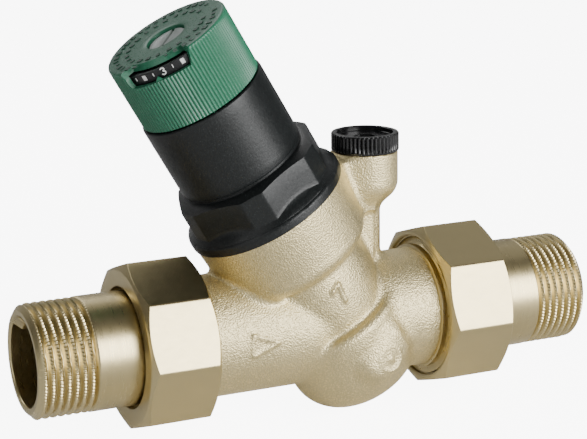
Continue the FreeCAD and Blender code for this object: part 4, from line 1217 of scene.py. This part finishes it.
class REGULATOR_OT_stage(bpy.types.Operator):
    """Set the floor, the lights and the camera"""
    bl_idname = "regulator.stage"
    bl_label = "Stage"

    def execute(self, context):
        settings = context.scene.regulator_stage
        low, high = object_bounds()
        ground = low.z - settings.floor_drop
        middle = (low + high) / 2
        bend = 0.5
        sweep = [(0.9 + bend * math.sin(a), ground + bend - bend * math.cos(a))
                 for a in np.linspace(0.1, math.pi / 2, 14)]
        path = [(-3.0, ground), (0.9, ground)] + sweep + [(1.4, 3.0)]
        across = (-4.0, -1.0, 0.0, 1.0, 4.0)
        verts = [(x, y, z) for y, z in path for x in across]
        faces = []
        for row in range(len(path) - 1):
            for c in range(row * len(across), (row + 1) * len(across) - 1):
                faces.append((c, c + 1, c + 1 + len(across), c + len(across)))
        floor = new_object("floor", verts, faces, None, 60.0)
        paper, tree, shader = new_material("studio paper", Roughness=0.9)
        place = node(tree, "ShaderNodeTexCoord")
        cloud = noise(tree, place.outputs["Object"], 3.0, 2.0)
        tree.links.new(mixed(tree, cloud, (0.80, 0.80, 0.80, 1), (0.84, 0.84, 0.84, 1)), shader.inputs["Base Color"])
        seen = tree.nodes.new("ShaderNodeLightPath")
        glow = mixed(tree, seen.outputs["Is Camera Ray"], (0, 0, 0, 1), (settings.backdrop_glow,) * 3 + (1,))
        tree.links.new(glow, shader.inputs["Emission Color"])
        shader.inputs["Emission Strength"].default_value = 1.0
        floor.data.materials.append(paper)
        floor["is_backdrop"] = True
        world = bpy.data.worlds.new("studio")
        context.scene.world = world
        world.use_nodes = True
        sky = world.node_tree
        sky.nodes.clear()
        haze = sky.nodes.new("ShaderNodeBackground")
        leave = sky.nodes.new("ShaderNodeOutputWorld")
        haze.inputs["Color"].default_value = (1.0, 1.0, 1.0, 1.0)
        haze.inputs["Strength"].default_value = settings.ambient
        sky.links.new(haze.outputs[0], leave.inputs[0])
        aim = tuple(middle)
        softbox("key", (middle.x + 0.40, -0.80, 0.30), aim, 0.75, 0.62, settings.key_power)
        softbox("fill", (middle.x - 0.85, -0.35, 0.35), aim, 0.5, 0.7, settings.fill_power)
        softbox("back", (middle.x - 0.2, 0.7, 0.75), aim, 0.9, 0.3, 2.2)
        softbox("top", (middle.x + 0.40, 0.44, 0.76), aim, 1.0, 0.8, 0.75)
        camera = bpy.data.cameras.new("camera")
        camera.sensor_width = 36.0
        camera.lens = 117.88
        camera.clip_start, camera.clip_end = 0.01, 20.0
        eye = bpy.data.objects.new("camera", camera)
        turn, lift, roll = math.radians(-24.609), math.radians(13.802), math.radians(-0.771)
        right = Vector((math.cos(turn), math.sin(turn), 0.0))
        back = Vector((math.sin(turn) * math.cos(lift), -math.cos(turn) * math.cos(lift), math.sin(lift)))
        up = back.cross(right)
        right, up = (math.cos(roll) * right + math.sin(roll) * up), (math.cos(roll) * up - math.sin(roll) * right)
        eye.matrix_world = Matrix((
            (right.x, up.x, back.x, -0.144919), (right.y, up.y, back.y, -0.500493),
            (right.z, up.z, back.z, 0.166969), (0, 0, 0, 1)))
        context.scene.collection.objects.link(eye)
        context.scene.camera = eye
        return {"FINISHED"}


class REGULATOR_PT_panel(bpy.types.Panel):
    """Lists the regulator's pieces"""
    bl_label = "Water Pressure Regulator"
    bl_idname = "REGULATOR_PT_panel"
    bl_space_type = "VIEW_3D"
    bl_region_type = "UI"
    bl_category = "Regulator"

    def draw(self, context):
        layout = self.layout
        for operator in STEPS:
            layout.operator(operator.bl_idname)
        for key in SETTINGS:
            box = layout.box()
            values = getattr(context.scene, key)
            for name in values.bl_rna.properties.keys():
                if name not in {"rna_type", "name"}:
                    box.prop(values, name)


SETTINGS = {
    "regulator_unions": UnionSettings, "regulator_casting": CastingSettings, "regulator_bonnet": BonnetSettings,
    "regulator_knob": KnobSettings, "regulator_plug": PlugSettings, "regulator_stage": StageSettings,
}
STEPS = (
    REGULATOR_OT_finishes, REGULATOR_OT_inner_pieces, REGULATOR_OT_unions, REGULATOR_OT_casting,
    REGULATOR_OT_bonnet, REGULATOR_OT_knob, REGULATOR_OT_plug, REGULATOR_OT_stage,
)


def register():
    for cls in list(SETTINGS.values()) + list(STEPS) + [REGULATOR_PT_panel]:
        bpy.utils.register_class(cls)
    for key, cls in SETTINGS.items():
        setattr(bpy.types.Scene, key, PointerProperty(type=cls))


def unregister():
    for key in SETTINGS:
        delattr(bpy.types.Scene, key)
    for cls in reversed(list(SETTINGS.values()) + list(STEPS) + [REGULATOR_PT_panel]):
        bpy.utils.unregister_class(cls)


def main():
    register()
    for step in STEPS:
        group_name, name = step.bl_idname.split(".")
        getattr(getattr(bpy.ops, group_name), name)()


if __name__ == "__main__":
    main()
